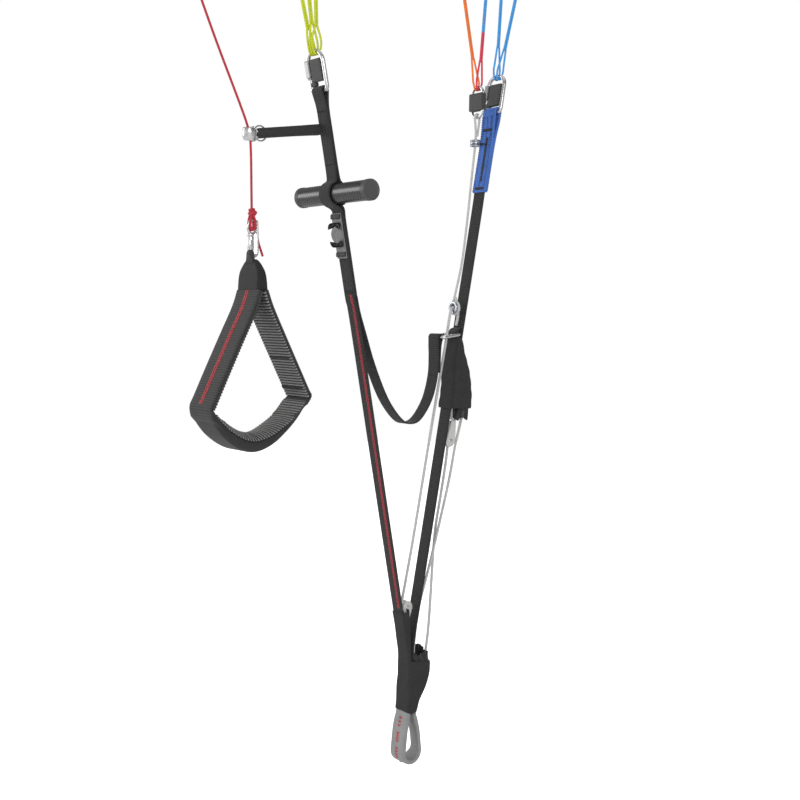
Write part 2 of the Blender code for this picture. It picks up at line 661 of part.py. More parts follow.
def make_speed_cords():
    """The cords of the speed system, each along its real route."""
    # From the outer maillon down through the guide ring and round the speed ring's groove
    thin = SPEED_RADIUS * 0.85
    bar_x, bar_z = MAILLONS["outer_maillon"][1]
    over = MAILLONS["outer_maillon"][5] + thin + GAP
    path = [(bar_x + 0.0014, 0, 0.5040), (bar_x + 0.0022, 0, 0.5090)]
    path += [(x, 0, z) for x, z in arc((bar_x, bar_z), over, 0, 180, 4)]
    path += [(bar_x - 0.0022, 0, 0.5090), (0.0748, 0, 0.5040), GUIDE_RING, (0.0700, 0, 0.4610)]
    path += [(0.0658, 0, 0.4304), (0.0600, 0, 0.3960), (SPEED_RING.x + 0.0012, 0, 0.3720)]
    round_ring = RING_OUTER - RING_GROOVE + thin + GAP * 2
    for degrees in (75, 30, -30, -90, -150, 150, 120):
        turn = math.radians(degrees)
        path.append((SPEED_RING.x, round_ring * math.cos(turn), SPEED_RING.z + round_ring * math.sin(turn)))
    cord("upper_speed_cord", smooth_path(path, 2), thin, "riser", "speed_cord")

    # From the guide pulley's wheel up through the link ring and the speed ring, down to the ring tab
    x, z, wheel = PULLEYS["guide"]
    on_wheel = wheel - WHEEL_GROOVE + SPEED_RADIUS + GAP
    path = [(px, 0, pz) for px, pz in arc((x, z), on_wheel, 280, 175, 4)]
    path += [
        (0.0030, 0, 0.1560), (0.0100, 0, 0.1860), (0.0230, 0, 0.2455), (0.0381, 0, 0.3125),
        (0.0427, 0, 0.3330), (0.0455, 0, 0.3470), (0.0476, 0, 0.3560), (0.0492, 0, 0.3592), SPEED_RING,
        (0.0546, 0, 0.3588), (0.0558, 0, 0.3560), (0.0556, 0, 0.3510), (0.0538, 0, 0.3456),
    ]
    cord("main_speed_cord", smooth_path(path, 3), SPEED_RADIUS, "riser", "speed_cord")

    # From the floating pulley up over the upper pulley, down round the lower one and back up
    x, z, wheel = PULLEYS["upper"]
    on_wheel = wheel - WHEEL_GROOVE + SPEED_RADIUS + GAP
    path = [(0.0488, 0, 0.2693)] + [(px, 0, pz) for px, pz in arc((x, z), on_wheel, 180, 0, 5)]
    path += [
        (0.0622, 0, 0.2800), (0.0599, 0, 0.2676), (0.0530, 0, 0.2454), (0.0452, -0.0014, 0.2187),
        (0.0302, -0.0030, 0.1752), (0.0212, -0.0014, 0.1436), (0.0152, 0.0020, 0.1165),
        (0.0098, 0.0016, 0.0860),
    ]
    x, z, wheel = PULLEYS["lower"]
    on_wheel = wheel - WHEEL_GROOVE + SPEED_RADIUS + GAP
    path += [(px, 0, pz) for px, pz in arc((x, z), on_wheel, 180, 360, 5)]
    path += [
        (0.0196, -0.0006, 0.0760), (0.0238, -0.0016, 0.1058), (0.0331, 0.0030, 0.1715),
        (0.0397, 0.0030, 0.2045), (0.0434, 0.0010, 0.2310), (0.0449, 0, 0.2469),
    ]
    cord("long_speed_cord", smooth_path(path, 2), SPEED_RADIUS, "riser", "speed_cord")


def grooved_ring(name, centre, axis, outer, half, bore, body, material, segments=24):
    """A polished ring with a groove round it and a bell-mouthed bore."""
    groove = outer - 0.0009
    mouth = bore + 0.0010
    profile = (
        (mouth, -half), (outer - 0.0005, -half), (outer, -half + 0.0006), (groove, -0.0004),
        (groove, 0.0004), (outer, half - 0.0006), (outer - 0.0005, half), (mouth, half),
        (bore, half * 0.35), (bore, -half * 0.35),
    )
    turned(name, centre, axis, profile, body, material, segments=segments)


def make_rings():
    """The low-friction rings, and the webbing tab that carries the guide ring."""
    for name, centre, axis in (("speed_ring", SPEED_RING, (1, 0, 0)), ("guide_ring", GUIDE_RING, (0, 0, 1))):
        grooved_ring(name, centre, axis, RING_OUTER, RING_HALF, RING_BORE, "riser", "aluminium", 20)
    grooved_ring("brake_guide_ring", BRAKE_RING, (0, 0, 1), 0.0043, 0.0042, 0.0018, "riser", "aluminium", 20)
    thick = 0.0008
    round_ring = RING_OUTER + GAP + thick / 2
    end_x = front_x(GUIDE_RING.z) - (WEB_THICK + GAP / 2 + GAP) - 0.0009 - GAP
    bend = arc((GUIDE_RING.x, 0), round_ring, 40, 320, 10)
    path = [(end_x - 0.0002, 0.0022)] + bend + [(end_x - 0.0002, -0.0022)]
    ribbon("guide_ring_tab", path, 0.0030, thick, "riser", "webbing", plane="XY", centre=GUIDE_RING.z)


def make_brake_mount():
    """The strap, its small round ring, and the wire clamp that carries the brake guide ring."""
    slope = 0.155
    root_x, end_x = -0.0797, -0.1342
    root_z = 0.4885
    layer, thick, height = 0.00135, 0.0008, 0.0068
    end = arc((end_x + layer, 0), layer, 90, 270, 6)
    path = [(root_x, layer)] + [(end_x + layer + 0.0010, layer)] + end
    path += [(end_x + layer + 0.0010, -layer)] + [(root_x, -layer)]
    strap = ribbon("brake_strap", path, height, thick, "riser", "webbing", plane="XY", centre=0.0)
    for vertex in strap.data.vertices:
        vertex.co.z += root_z + slope * (vertex.co.x - root_x)
    ring_centre = Vector((-0.1320, 0, 0.4803))
    rod(
        "brake_link_ring",
        [ring_centre + 0.0052 * Vector((math.cos(t), 0, math.sin(t)))
         for t in (2 * math.pi * k / 24 for k in range(24))],
        0.0006, "riser", "steel", sides=8, closed=True,
    )
    clamp = []
    for k in range(20):
        turn = 2 * math.pi * k / 20
        nose = 0.0032 * max(0.0, math.cos(turn)) ** 4
        clamp.append(BRAKE_RING + Vector((
            0.0041 * math.cos(turn) + nose, 0.0041 * math.sin(turn), 0,
        )))
    rod("brake_ring_clamp", clamp, 0.0005, "riser", "steel", sides=8, closed=True)


def make_brake_line():
    """The brake line: from the canopy to the guide ring, and on down to the knot at the swivel."""
    mouth = Vector((-0.1425, 0, 0.4795))
    head = Vector((-0.1925, 0, 0.5950))
    legs = Vector((-0.0020, 0, 0.0050))
    path = [
        Vector((-0.1421, 0, 0.4766)), mouth, mouth.lerp(head, 0.10) + Vector((0.0006, 0, 0.001)), mouth.lerp(head, 0.5), head - legs * 1.9,
        head + Vector((-0.0028, 0, -0.0040)), head, head + Vector((0.0026, 0, -0.0032)),
        head - legs * 1.9 + Vector((0.0024, 0, 0.0004)),
    ]
    cord("brake_line_upper", smooth_path(path, 2), BRAKE_RADIUS, "riser", "brake_line")
    x = BRAKE_PIVOT.x
    line = rod("brake_line_lower", [
        (x - 0.0004, 0, BRAKE_PIVOT.z + 0.0009), (x, 0, 0.4620), (x, 0, 0.4400), (x, 0, 0.4280),
    ], BRAKE_RADIUS, "brake_line", "brake_line")
    join(line, barrel(
        "brake_knot", (x, 0, 0.4272), (0, 0, 1),
        ((0.0012, -0.0026), (0.0024, -0.0018), (0.0022, -0.0006), (0.0026, 0.0006),
         (0.0022, 0.0018), (0.0012, 0.0026)),
        "brake_line", "brake_line", segments=12, smooth=50,
    ))
    tail = [
        (x + 0.0012, -0.0012, 0.4268), (x + 0.0036, -0.0030, 0.4230), (x + 0.0052, -0.0034, 0.4150),
        (x + 0.0064, -0.0034, 0.4080), (x + 0.0086, -0.0034, 0.3950),
    ]
    join(line, rod("brake_tail", smooth_path(tail, 3), BRAKE_RADIUS, "brake_line", "brake_line"))
    loop = [
        (x - 0.0009, 0, 0.4240), (x - 0.0024, 0, 0.4208), (x - 0.0021, 0, 0.4172), (x, 0, 0.4156),
        (x + 0.0021, 0, 0.4172), (x + 0.0024, 0, 0.4208), (x + 0.0011, 0, 0.4238),
    ]
    cord("brake_line_loop", smooth_path(loop, 2), BRAKE_RADIUS, "brake_line", "brake_line")


def make_swivel():
    """The snap between line and handle: a top bow that the line's loop holds, and a body that turns under it."""
    x, _, z = SWIVEL_PIVOT
    bow = [
        (x, 0.0028 * math.cos(turn), z + 0.0041 + 0.0030 * math.sin(turn))
        for turn in (2 * math.pi * k / 14 for k in range(14))
    ]
    rod("swivel_bow", bow, 0.0007, "brake_line", "steel", sides=8, closed=True)
    barrel(
        "swivel_body", (x, 0, z), (0, 0, 1),
        ((0.0012, -0.0095), (0.0024, -0.0085), (0.0024, -0.0030), (0.0020, -0.0016),
         (0.0011, -0.0006), (0.0009, 0.0001)),
        "swivel", "steel", segments=14,
    )
    hook = smooth_path([
        (x + 0.0030, 0, z - 0.0036), (x + 0.0040, 0, z - 0.0046), (x + 0.0044, 0, z - 0.0090),
        (x + 0.0038, 0, z - 0.0128), (x + 0.0018, 0, z - 0.0147), (x - 0.0012, 0, z - 0.0147),
        (x - 0.0031, 0, z - 0.0132), (x - 0.0030, 0, z - 0.0112),
    ], 2)
    rod("swivel_hook", hook, 0.0008, "swivel", "steel", sides=8)


def make_brake_handle():
    """Cap, two webbing legs, and the padded grip, all across Y."""
    x = HANDLE_PIVOT.x
    # Cap sections: height, half thickness, half width
    cap = (
        (0.3932, 0.0016, 0.0046), (0.3900, 0.0024, 0.0082), (0.3830, 0.0034, 0.0122),
        (0.3775, 0.0040, 0.0129), (0.3715, 0.0044, 0.0129),
    )
    solid(
        "handle_cap",
        [rounded_box_ring(x - hx, x + hx, hy, z, 0.0016) for z, hx, hy in cap],
        "brake_handle", "neoprene", smooth=50,
    )
    rod("handle_eye", [
        (x, 0.0034 * math.cos(t), 0.3955 + 0.0021 * math.sin(t))
        for t in (math.radians(a) for a in (215, 180, 150, 120, 90, 60, 30, 0, -35))
    ], 0.0007, "brake_handle", "webbing", sides=8)
    left = [(x - 0.0024, 0.3711), (x - 0.0068, 0.3600), (-0.1579, 0.3412), (-0.1690, 0.3200), (-0.1799, 0.2994)]
    right = [(x + 0.0024, 0.3711), (x + 0.0068, 0.3600), (-0.1252, 0.3412), (-0.1145, 0.3200), (-0.1037, 0.2994)]
    ribbon("handle_leg_rear", smooth_2d(left, 3), 0.025, 0.0020, "brake_handle", "webbing")
    ribbon("handle_leg_front", smooth_2d(right, 3), 0.025, 0.0020, "brake_handle", "webbing")
    grip = [
        (-0.1805, 0.2976), (-0.1822, 0.2890), (-0.1776, 0.2790), (-0.1660, 0.2705), (-0.1500, 0.2672),
        (-0.1330, 0.2695), (-0.1170, 0.2775), (-0.1070, 0.2880), (-0.1031, 0.2976),
    ]
    ribbon(
        "handle_grip", smooth_2d(grip, 3), 0.0265,
        lambda share: 0.0030 + 0.0062 * min(1.0, 6 * share, 6 * (1 - share)),
        "brake_handle", "grip",
    )


def make_roll_handle():
    """The carbon tube that both webbing layers part round, with a cap on each end."""
    inner = 0.0066
    half = ROLL_HALF - ROLL_CAP_LENGTH
    turned(
        "roll_tube", ROLL_CENTRE, (0, 1, 0),
        ((inner, -half), (ROLL_RADIUS, -half), (ROLL_RADIUS, half), (inner, half)),
        "roll_handle", "carbon", segments=32,
    )
    for name, side in (("roll_cap_near", -1), ("roll_cap_far", 1)):
        start = half + GAP
        barrel(
            name, ROLL_CENTRE, (0, side, 0),
            ((inner - GAP, half - 0.0060), (inner - GAP, start), (ROLL_RADIUS + 0.0002, start),
             (ROLL_RADIUS + 0.0002, ROLL_HALF - 0.0008), (ROLL_RADIUS - 0.0006, ROLL_HALF)),
            "roll_handle", "cap_plastic", segments=32,
        )


def make_keeper():
    """The strip, disc and points on the rear riser's back face that hold the parked brake handle."""
    face = WEB_THICK + GAP / 2 + GAP
    thick = 0.0012
    path = [(rear_x(z) - face - thick / 2, z) for z in (0.3960, 0.4110, 0.4262)]
    ribbon("keeper_strip", path, 0.0110, thick, "riser", "keeper_plastic")
    z = 0.4138
    normal = Vector((-1, 0, REAR_LEAN)).normalized()
    centre = Vector((rear_x(z), 0, z)) + normal * (face + thick + GAP)
    disc = barrel(
        "keeper_disc", centre, normal,
        ((0.0064, 0.0000), (0.0064, 0.0014), (0.0056, 0.0020)),
        "riser", "keeper_plastic", segments=24,
    )
    up = Vector((REAR_LEAN, 0, 1)).normalized()
    for k, (sy, sz) in enumerate(((1, 1), (-1, 1), (1, -1), (-1, -1))):
        root = centre + Vector((0, 1, 0)) * (sy * 0.0026) + up * (sz * 0.0054) + normal * 0.0015
        tip = root + Vector((0, 1, 0)) * (sy * 0.0040) + up * (sz * 0.0018) + normal * 0.0022
        join(disc, rod(
            f"keeper_point_{k}", [root - (tip - root) * 0.3, root.lerp(tip, 0.5), tip],
            lambda share: 0.0011 - 0.0007 * share, "riser", "keeper_plastic", sides=8,
        ))


def main():
    clear_scene()
    make_materials()
    make_bodies()
    make_main_loop()
    make_risers()
    make_sleeve()
    make_covers()
    make_link_strap()
    make_link_ring()
    make_pulleys()
    make_maillons()
    make_lines()
    make_speed_cords()
    make_rings()
    make_brake_mount()
    make_brake_line()
    make_swivel()
    make_brake_handle()
    make_roll_handle()
    make_keeper()


main()
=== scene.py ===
"""Looks for one side of a paraglider's riser set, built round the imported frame.

Laid out as a Blender add-on and run as a script. Metres, +Z up along the hang, +X towards the front riser.
"""

from math import atan2, cos, exp, pi, radians, sin

import bmesh
import bpy
from bpy.props import FloatProperty, FloatVectorProperty, IntProperty, PointerProperty
from bpy.types import Node, NodeSocket, Operator, Panel, PropertyGroup
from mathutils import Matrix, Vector


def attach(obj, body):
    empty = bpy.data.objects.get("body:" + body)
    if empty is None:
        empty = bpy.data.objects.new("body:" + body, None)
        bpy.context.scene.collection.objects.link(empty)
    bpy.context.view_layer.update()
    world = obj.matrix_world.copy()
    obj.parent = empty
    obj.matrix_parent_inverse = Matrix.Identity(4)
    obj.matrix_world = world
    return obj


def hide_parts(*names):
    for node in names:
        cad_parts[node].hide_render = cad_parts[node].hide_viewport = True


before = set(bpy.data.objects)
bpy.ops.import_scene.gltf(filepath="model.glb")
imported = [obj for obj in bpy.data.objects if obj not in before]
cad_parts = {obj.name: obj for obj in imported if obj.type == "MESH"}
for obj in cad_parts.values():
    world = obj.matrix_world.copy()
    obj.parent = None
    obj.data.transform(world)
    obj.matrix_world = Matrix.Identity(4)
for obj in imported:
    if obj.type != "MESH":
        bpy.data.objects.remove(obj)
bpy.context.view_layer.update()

bl_info = {
    "name": "Riser Set Looks",
    "version": (1, 0, 0),
    "blender": (4, 5, 0),
    "location": "View3D > Sidebar > Riser Set",
    "description": "Dresses a packed paraglider riser set with webbing, cords, covers and fittings",
    "category": "Object",
}

AHEAD = Vector((1, 0, 0))
ACROSS = Vector((0, 1, 0))
UP = Vector((0, 0, 1))
GAP = 0.0003

# The risers' middle lines: x = foot + lean * (z - foot height)
REAR_FOOT, REAR_FOOT_Z, REAR_LEAN = -0.0089, 0.124, -0.186
FRONT_FOOT, FRONT_FOOT_Z, FRONT_LEAN = 0.0098, 0.1205, 0.2108
RISER_FLOOR_Z = 0.0502
REAR_TOP_Z, FRONT_TOP_Z = 0.515, 0.519
TAIL_END_Z = 0.369

ROLL_CENTRE = Vector((-0.07, -0.0022, 0.4425))
ROLL_OUTER, ROLL_HALF, ROLL_CAP = 0.0074, 0.042, 0.0045
BRAKE_RING = Vector((-0.1425, 0, 0.479))
BRAKE_X = -0.1412
SNAP_Z = 0.4105
SPEED_RING = Vector((0.052, 0, 0.3594))
GUIDE_RING = Vector((0.0744, 0, 0.4925))

# Pulleys: x, z, wheel radius, cheek radius, reach to the far end, side of the far end, lean
PULLEYS = {
    "floating": (0.0455, 0.2512, 0.0046, 0.0049, 0.018, 1, FRONT_LEAN),
    "upper": (0.0566, 0.2955, 0.0066, 0.005, 0.0118, 1, 0.0),
    "lower": (0.0125, 0.0632, 0.0045, 0.0043, 0.0086, -1, 0.0),
    "guide": (-0.0006, 0.1215, 0.0046, 0.0049, 0.0094, -1, 0.0),
}
WHEEL_THICK, WHEEL_GROOVE, CHEEK_THICK, PIN_RADIUS = 0.0036, 0.0013, 0.001, 0.0011


def length_property(label, what, value):
    return FloatProperty(name=label, description=what, default=value, unit="LENGTH")


class RiserSizes(PropertyGroup):
    """Sizes of the webbing, cords and seams."""

    web_width: length_property("Webbing width", "Width of the riser webbing", 0.012)
    web_thick: length_property("Webbing thickness", "Thickness of one layer of riser webbing", 0.0016)
    web_rib: length_property("Webbing rib pitch", "Distance between the riser webbing's cross ribs", 0.0017)
    handle_rib: length_property("Handle rib pitch", "Distance between the handle webbing's ribs", 0.00185)
    handle_width: length_property("Handle width", "Width of the brake handle's webbing", 0.0284)
    ladder_rib: length_property("Handle lining pitch", "Distance between the ribs inside the handle", 0.0022)
    loop_width: length_property("Main loop width", "Width of the carabiner loop", 0.0162)
    loop_thick: length_property("Main loop thickness", "Thickness of the carabiner loop", 0.0038)
    line_radius: length_property("Line radius", "Half the thickness of a suspension line", 0.0008)
    speed_radius: length_property("Speed cord radius", "Half the thickness of a speed-system cord", 0.00115)
    brake_radius: length_property("Brake line radius", "Half the thickness of the brake line", 0.00085)
    seam_pitch: length_property("Seam pitch", "Distance between stitches", 0.0019)
    thread_radius: length_property("Thread radius", "Half the thickness of the sewing thread", 0.00016)
    seed: IntProperty(name="Seed", description="Seed for the small unevenness of the stitches", default=7)


def colour_property(label, what, value):
    return FloatVectorProperty(name=label, description=what, subtype="COLOR", size=3, min=0, max=1,
        default=value)


class RiserColours(PropertyGroup):
    """Base colours of the finishes, linear."""

    webbing: colour_property("Webbing", "Black riser webbing", (0.04, 0.04, 0.041))
    handle_web: colour_property("Handle webbing", "Ribbed handle webbing", (0.064, 0.064, 0.063))
    # Painted highlight: the handle lining's ribs get this pale colour as if lit, while the rear leg's part of
    # the same lining uses the dark handle webbing
    ladder: colour_property("Handle lining", "Bright ribs inside the brake handle", (0.3, 0.3, 0.297))
    neoprene: colour_property("Neoprene", "Covers and handle cap", (0.036, 0.036, 0.037))
    lining: colour_property("Lining", "Thin lining of the covers", (0.016, 0.016, 0.017))
    sleeve: colour_property("Sleeve", "Coloured sleeve on the front riser", (0.075, 0.19, 0.6))
    loop: colour_property("Main loop", "Grey carabiner loop", (0.32, 0.322, 0.32))
    red_thread: colour_property("Red thread", "Marking seams", (0.54, 0.03, 0.048))
    speed_cord: colour_property("Speed cord", "Pale speed-system cords", (0.58, 0.577, 0.566))
    green_line: colour_property("Green line", "Rear suspension lines", (0.64, 0.72, 0.02))
    blue_line: colour_property("Blue line", "Front suspension lines", (0.06, 0.39, 0.86))
    orange_line: colour_property("Orange line", "Outer suspension line", (0.95, 0.22, 0.035))
    crimson_line: colour_property("Crimson line", "Outer suspension line with a blue upper end",
        (0.78, 0.05, 0.1))
    brake_line: colour_property("Brake line", "Brake line", (0.54, 0.022, 0.04))
    steel: colour_property("Steel", "Quick links, rings and snap", (0.7, 0.7, 0.705))
    ring_metal: colour_property("Ring metal", "Low-friction rings", (0.43, 0.46, 0.52))
    keeper: colour_property("Link keeper", "Rubber keepers in the quick links", (0.055, 0.055, 0.054))
    pulley: colour_property("Pulley", "Pulley plastic", (0.64, 0.64, 0.63))
    carbon: colour_property("Carbon", "Roll handle tube", (0.018, 0.018, 0.019))
    cap: colour_property("Cap", "Roll handle caps", (0.075, 0.075, 0.075))
    parking: colour_property("Parking strip", "Handle keeper strip and disc", (0.215, 0.215, 0.215))


def sizes():
    return bpy.context.scene.riser_sizes


def colours():
    return bpy.context.scene.riser_colours


# Points and paths


def rear_x(z):
    return REAR_FOOT + REAR_LEAN * (z - REAR_FOOT_Z)


def front_x(z):
    return FRONT_FOOT + FRONT_LEAN * (z - FRONT_FOOT_Z)


def arc(centre, radius, start, end, steps):
    """Points on an arc in a plane, angles in degrees."""
    turns = [radians(start + (end - start) * k / steps) for k in range(steps + 1)]
    return [(centre[0] + radius * cos(turn), centre[1] + radius * sin(turn)) for turn in turns]


def in_xz(points):
    """Plane points (x, z) as points in space."""
    return [Vector((x, 0, z)) for x, z in points]


def smooth(points, steps=6, closed=False):
    """Points along a smooth curve through the given ones."""
    points = [Vector(point) for point in points]
    count = len(points)
    out = []
    for i in range(count if closed else count - 1):
        p1, p2 = points[i], points[(i + 1) % count]
        p0 = points[(i - 1) % count] if closed or i else p1 * 2 - p2
        p3 = points[(i + 2) % count] if closed or i + 2 < count else p2 * 2 - p1
        for step in range(steps):
            t = step / steps
            out.append(0.5 * ((2 * p1) + (p2 - p0) * t + (2 * p0 - 5 * p1 + 4 * p2 - p3) * t * t
                + (3 * p1 - p0 - 3 * p2 + p3) * t ** 3))
    if not closed:
        out.append(points[-1])
    return out


def reaches(path, closed=False):
    """How far along the path each point is, with the way round to the first one added on a closed path."""
    along = [0.0]
    for a, b in zip(path, path[1:] + (path[:1] if closed else [])):
        along.append(along[-1] + (b - a).length)
    return along


def even(points, step, closed=False):
    """The same path with a point about every step along it."""
    points = [Vector(point) for point in points]
    if closed:
        points.append(points[0])
    reach = reaches(points)
    count = max(2, round(reach[-1] / step))
    out, at = [], 0
    for k in range(count if closed else count + 1):
        goal = reach[-1] * k / count
        while at < len(points) - 2 and reach[at + 1] < goal:
            at += 1
        span = reach[at + 1] - reach[at]
        out.append(points[at].lerp(points[at + 1], (goal - reach[at]) / span if span else 0.0))
    return out


def heading(path, i, closed=False):
    """From the point before to the point after: the path's direction at a point."""
    before = path[i - 1] if i or closed else path[i]
    after = path[(i + 1) % len(path)] if i + 1 < len(path) or closed else path[i]
    return after - before


def outward(path, i, across=ACROSS, face=1):
    """The direction that a strap's face looks in at a point of its path."""
    return heading(path, i).cross(across).normalized() * face


def circle(centre, radius, side, other, count):
    """Points round a circle that lies in two unit directions."""
    return [centre + radius * (cos(t) * side + sin(t) * other) for t in (2 * pi * k / count
        for k in range(count))]


def clamped(value):
    return min(1.0, max(0.0, value))


def ripple(*parts):
    """A smooth uneven value from a few sines: each part is (height, turns per unit, shift, place)."""
    return sum(height * sin(2 * pi * (turns * place + shift)) for height, turns, shift, place in parts)


# Meshes


def shown(name, mesh):
    """A mesh as an object of the scene, at the origin."""
    obj = bpy.data.objects.new(name, mesh)
    bpy.context.scene.collection.objects.link(obj)
    return obj


def skin(name, rings, finish, u_of, v_of, closed=False, sharp=40):
    """A smooth shaded mesh object at the origin, of faces between rings of points, looking outwards.

    u_of is the step in u from face to face round a ring, or a function that gives a face's (start, end). v_of
    holds the rings' places.
    """
    count, size = len(rings), len(rings[0])
    span = u_of if callable(u_of) else lambda j: (j * u_of, (j + 1) * u_of)
    faces, uvs = [], []
    for i in range(count if closed else count - 1):
        k = (i + 1) % count
        v0, v1 = v_of[i], v_of[i + 1]
        for j in range(size):
            m = (j + 1) % size
            faces.append((i * size + j, i * size + m, k * size + m, k * size + j))
            u0, u1 = span(j)
            uvs += [u0, v0, u1, v0, u1, v1, u0, v1]
    if not closed:
        for i, v in ((0, v_of[0]), (count - 1, v_of[-1])):
            faces.append(tuple(i * size + j for j in range(size)))
            uvs += [value for j in range(size) for value in (span(j)[0], v)]
    mesh = bpy.data.meshes.new(name)
    mesh.from_pydata([tuple(point) for ring in rings for point in ring], [], faces)
    mesh.uv_layers.new(name="UVMap").data.foreach_set("uv", uvs)
    work = bmesh.new()
    work.from_mesh(mesh)
    bmesh.ops.recalc_face_normals(work, faces=work.faces)
    work.to_mesh(mesh)
    work.free()
    mesh.shade_smooth()
    mesh.set_sharp_from_angle(angle=radians(sharp))
    mesh.materials.append(FINISHES[finish])
    return shown(name, mesh)


BACK_U = 0.1


def strap_outline(width, thick, flats, edge):
    """Round-edged outline of webbing: (across, out) places going round, front face first."""
    half_w, half_t = width / 2, thick / 2
    edge = min(edge or half_t, half_t)
    flat, side = half_w - edge, half_t - edge
    skip = 1 if side < 1e-6 else 0
    outline = []
    for sign, start in ((1, 90), (-1, 270)):
        outline += [(sign * (flat - 2 * flat * k / flats), sign * half_t) for k in range(flats + 1)]
        first, second = [[(edge * cos(t) - sign * flat, up * side + edge * sin(t))
            for t in (radians(begin + 90 * k / 4) for k in range(5))] for up,
            begin in ((sign, start), (-sign, start + 90))]
        outline += first[1:] + second[skip:-1]
    return outline


def at_share(value, share):
    return value(share) if callable(value) else value


def strap(name, path, width, thick, finish, across=ACROSS, face=1, step=0.0008, flats=6, relief=None,
        edge=None, bow=None):
    """Webbing along a path, its width along `across`. Its front looks towards tangent x across, times face.

    width, thick and edge are numbers or functions of the share of the path. relief(across, along, out) is how
    far the surface stands proud at a place, with out above 0 on the front. bow(across, share) bends the whole
    section out.
    """
    path = even(path, step)
    along = reaches(path)
    rings = []
    for i, point in enumerate(path):
        out = outward(path, i, across, face)
        share = i / (len(path) - 1)
        t = at_share(thick, share)
        outline = strap_outline(at_share(width, share), t, flats, at_share(edge, share))
        ring = []
        for a, b in outline:
            lift = relief(a, along[i], b) * b / (t / 2) if relief else 0.0
            bend = bow(a, share) if bow else 0.0
            ring.append(point + across * a + out * (b + lift + bend))
        rings.append(ring)

    def u_of(j):
        a0, b0 = outline[j]
        a1, b1 = outline[(j + 1) % len(outline)]
        shift = 0.0 if b0 + b1 >= 0 else BACK_U
        return a0 + shift, a1 + shift

    return skin(name, rings, finish, u_of, along, sharp=70)


def ribs(pitch, height):
    """Relief of close cross ribs on both faces."""
    return lambda a, along, b: height * (abs(sin(pi * along / pitch)) ** 0.6 - 1)


def ridges(places, width, depth):
    """Relief of sunk lines along the webbing, at places across it."""
    return lambda a, along, b: -depth * sum(exp(-((a - place) / width) ** 2) for place in places)


def beside(path, offset, lift, face=1):
    """The line on a strap's face at an offset across it, and the face's direction at each point."""
    outs = [outward(path, i, face=face) for i in range(len(path))]
    return [point + ACROSS * offset + out * lift for point, out in zip(path, outs)], outs


def bar_at(middle, half=5):
    """A row of points a millimetre apart across a strap, half to each side."""
    return [middle + ACROSS * (y / 1000) for y in range(-half, half + 1)]


def stretch(path, start, end):
    """The part of a path between two lengths along it."""
    path = even(path, 0.0004)
    return [point for point, place in zip(path, reaches(path)) if start <= place <= end]


def cord(name, path, radius, finish, closed=False, step=None):
    """A round cord along a path, with rounded ends. Its UV runs 0 to 1 round it, and in metres along it."""
    path = even(path, step or radius * 0.9, closed)
    along = reaches(path, closed)
    sides, side = 12, None
    rings, places = [], []
    # How far past its end the cord goes, and its share of the radius there
    caps = [] if closed else [(0.25, 0.97), (0.7, 0.72), (0.95, 0.3)]
    for i, point in enumerate(path):
        tangent = heading(path, i, closed).normalized()
        before = [(-reach, share) for reach, share in reversed(caps)] if i == 0 else []
        after = caps if i == len(path) - 1 else []
        for reach, share in before + [(0.0, 1.0)] + after:
            side = side or tangent.orthogonal().normalized()
            side = (side - tangent * side.dot(tangent)).normalized()
            middle = point + tangent * radius * reach
            rings.append(circle(middle, radius * share, side, tangent.cross(side), sides))
            places.append(along[i] + radius * reach)
    return skin(name, rings, finish, 1 / sides, places + along[-1:], closed)


def lathe(name, centre, axis, profile, finish, segments=48, closed=True, sharp=35):
    """A solid of revolution. profile: (radius, place along the axis), a loop, or open from axis to axis."""
    axis, centre = Vector(axis).normalized(), Vector(centre)
    side = axis.orthogonal().normalized()
    rings = [circle(centre + axis * place, max(radius, 1e-5), side, axis.cross(side), segments) for radius,
        place in profile]
    places = reaches([Vector(point) for point in profile], closed=True)
    return skin(name, rings, finish, 1 / segments, places, closed, sharp)


def mirrored(rows):
    """A profile from its rows below the middle, with the same ones above it."""
    return [*rows, *((radius, -place) for radius, place in reversed(rows))]


def rounded_profile(profile, corner, steps=3, closed=True):
    """The same turned profile with its corners rounded."""
    points = [Vector(point) for point in profile]
    count = len(points)
    out = []
    for i, point in enumerate(points):
        if not closed and i in (0, count - 1):
            out.append(tuple(point))
            continue
        before, after = points[i - 1] - point, points[(i + 1) % count] - point
        reach = min(corner, before.length * 0.45, after.length * 0.45)
        start, end = point + before.normalized() * reach, point + after.normalized() * reach
        for k in range(steps + 1):
            t = k / steps
            out.append(tuple(start * (1 - t) ** 2 + point * (2 * t * (1 - t)) + end * t ** 2))
    return out


def box_ring(x0, x1, half_y, z, corner, steps=5, flats=4):
    """A level round-cornered box outline with points along its sides."""
    corner = min(corner, half_y * 0.98, (x1 - x0) * 0.49)
    ends = ((x1 - corner, half_y - corner, 0), (x0 + corner, half_y - corner, 90),
        (x0 + corner, -half_y + corner, 180), (x1 - corner, -half_y + corner, 270))
    corners = [[Vector((cx + corner * cos(t), cy + corner * sin(t), z))
        for t in (radians(start + 90 * k / steps) for k in range(steps + 1))] for cx, cy, start in ends]
    ring = []
    for i, points in enumerate(corners):
        ring += points
        after = corners[(i + 1) % 4][0]
        ring += [points[-1].lerp(after, k / flats) for k in range(1, flats)]
    return ring


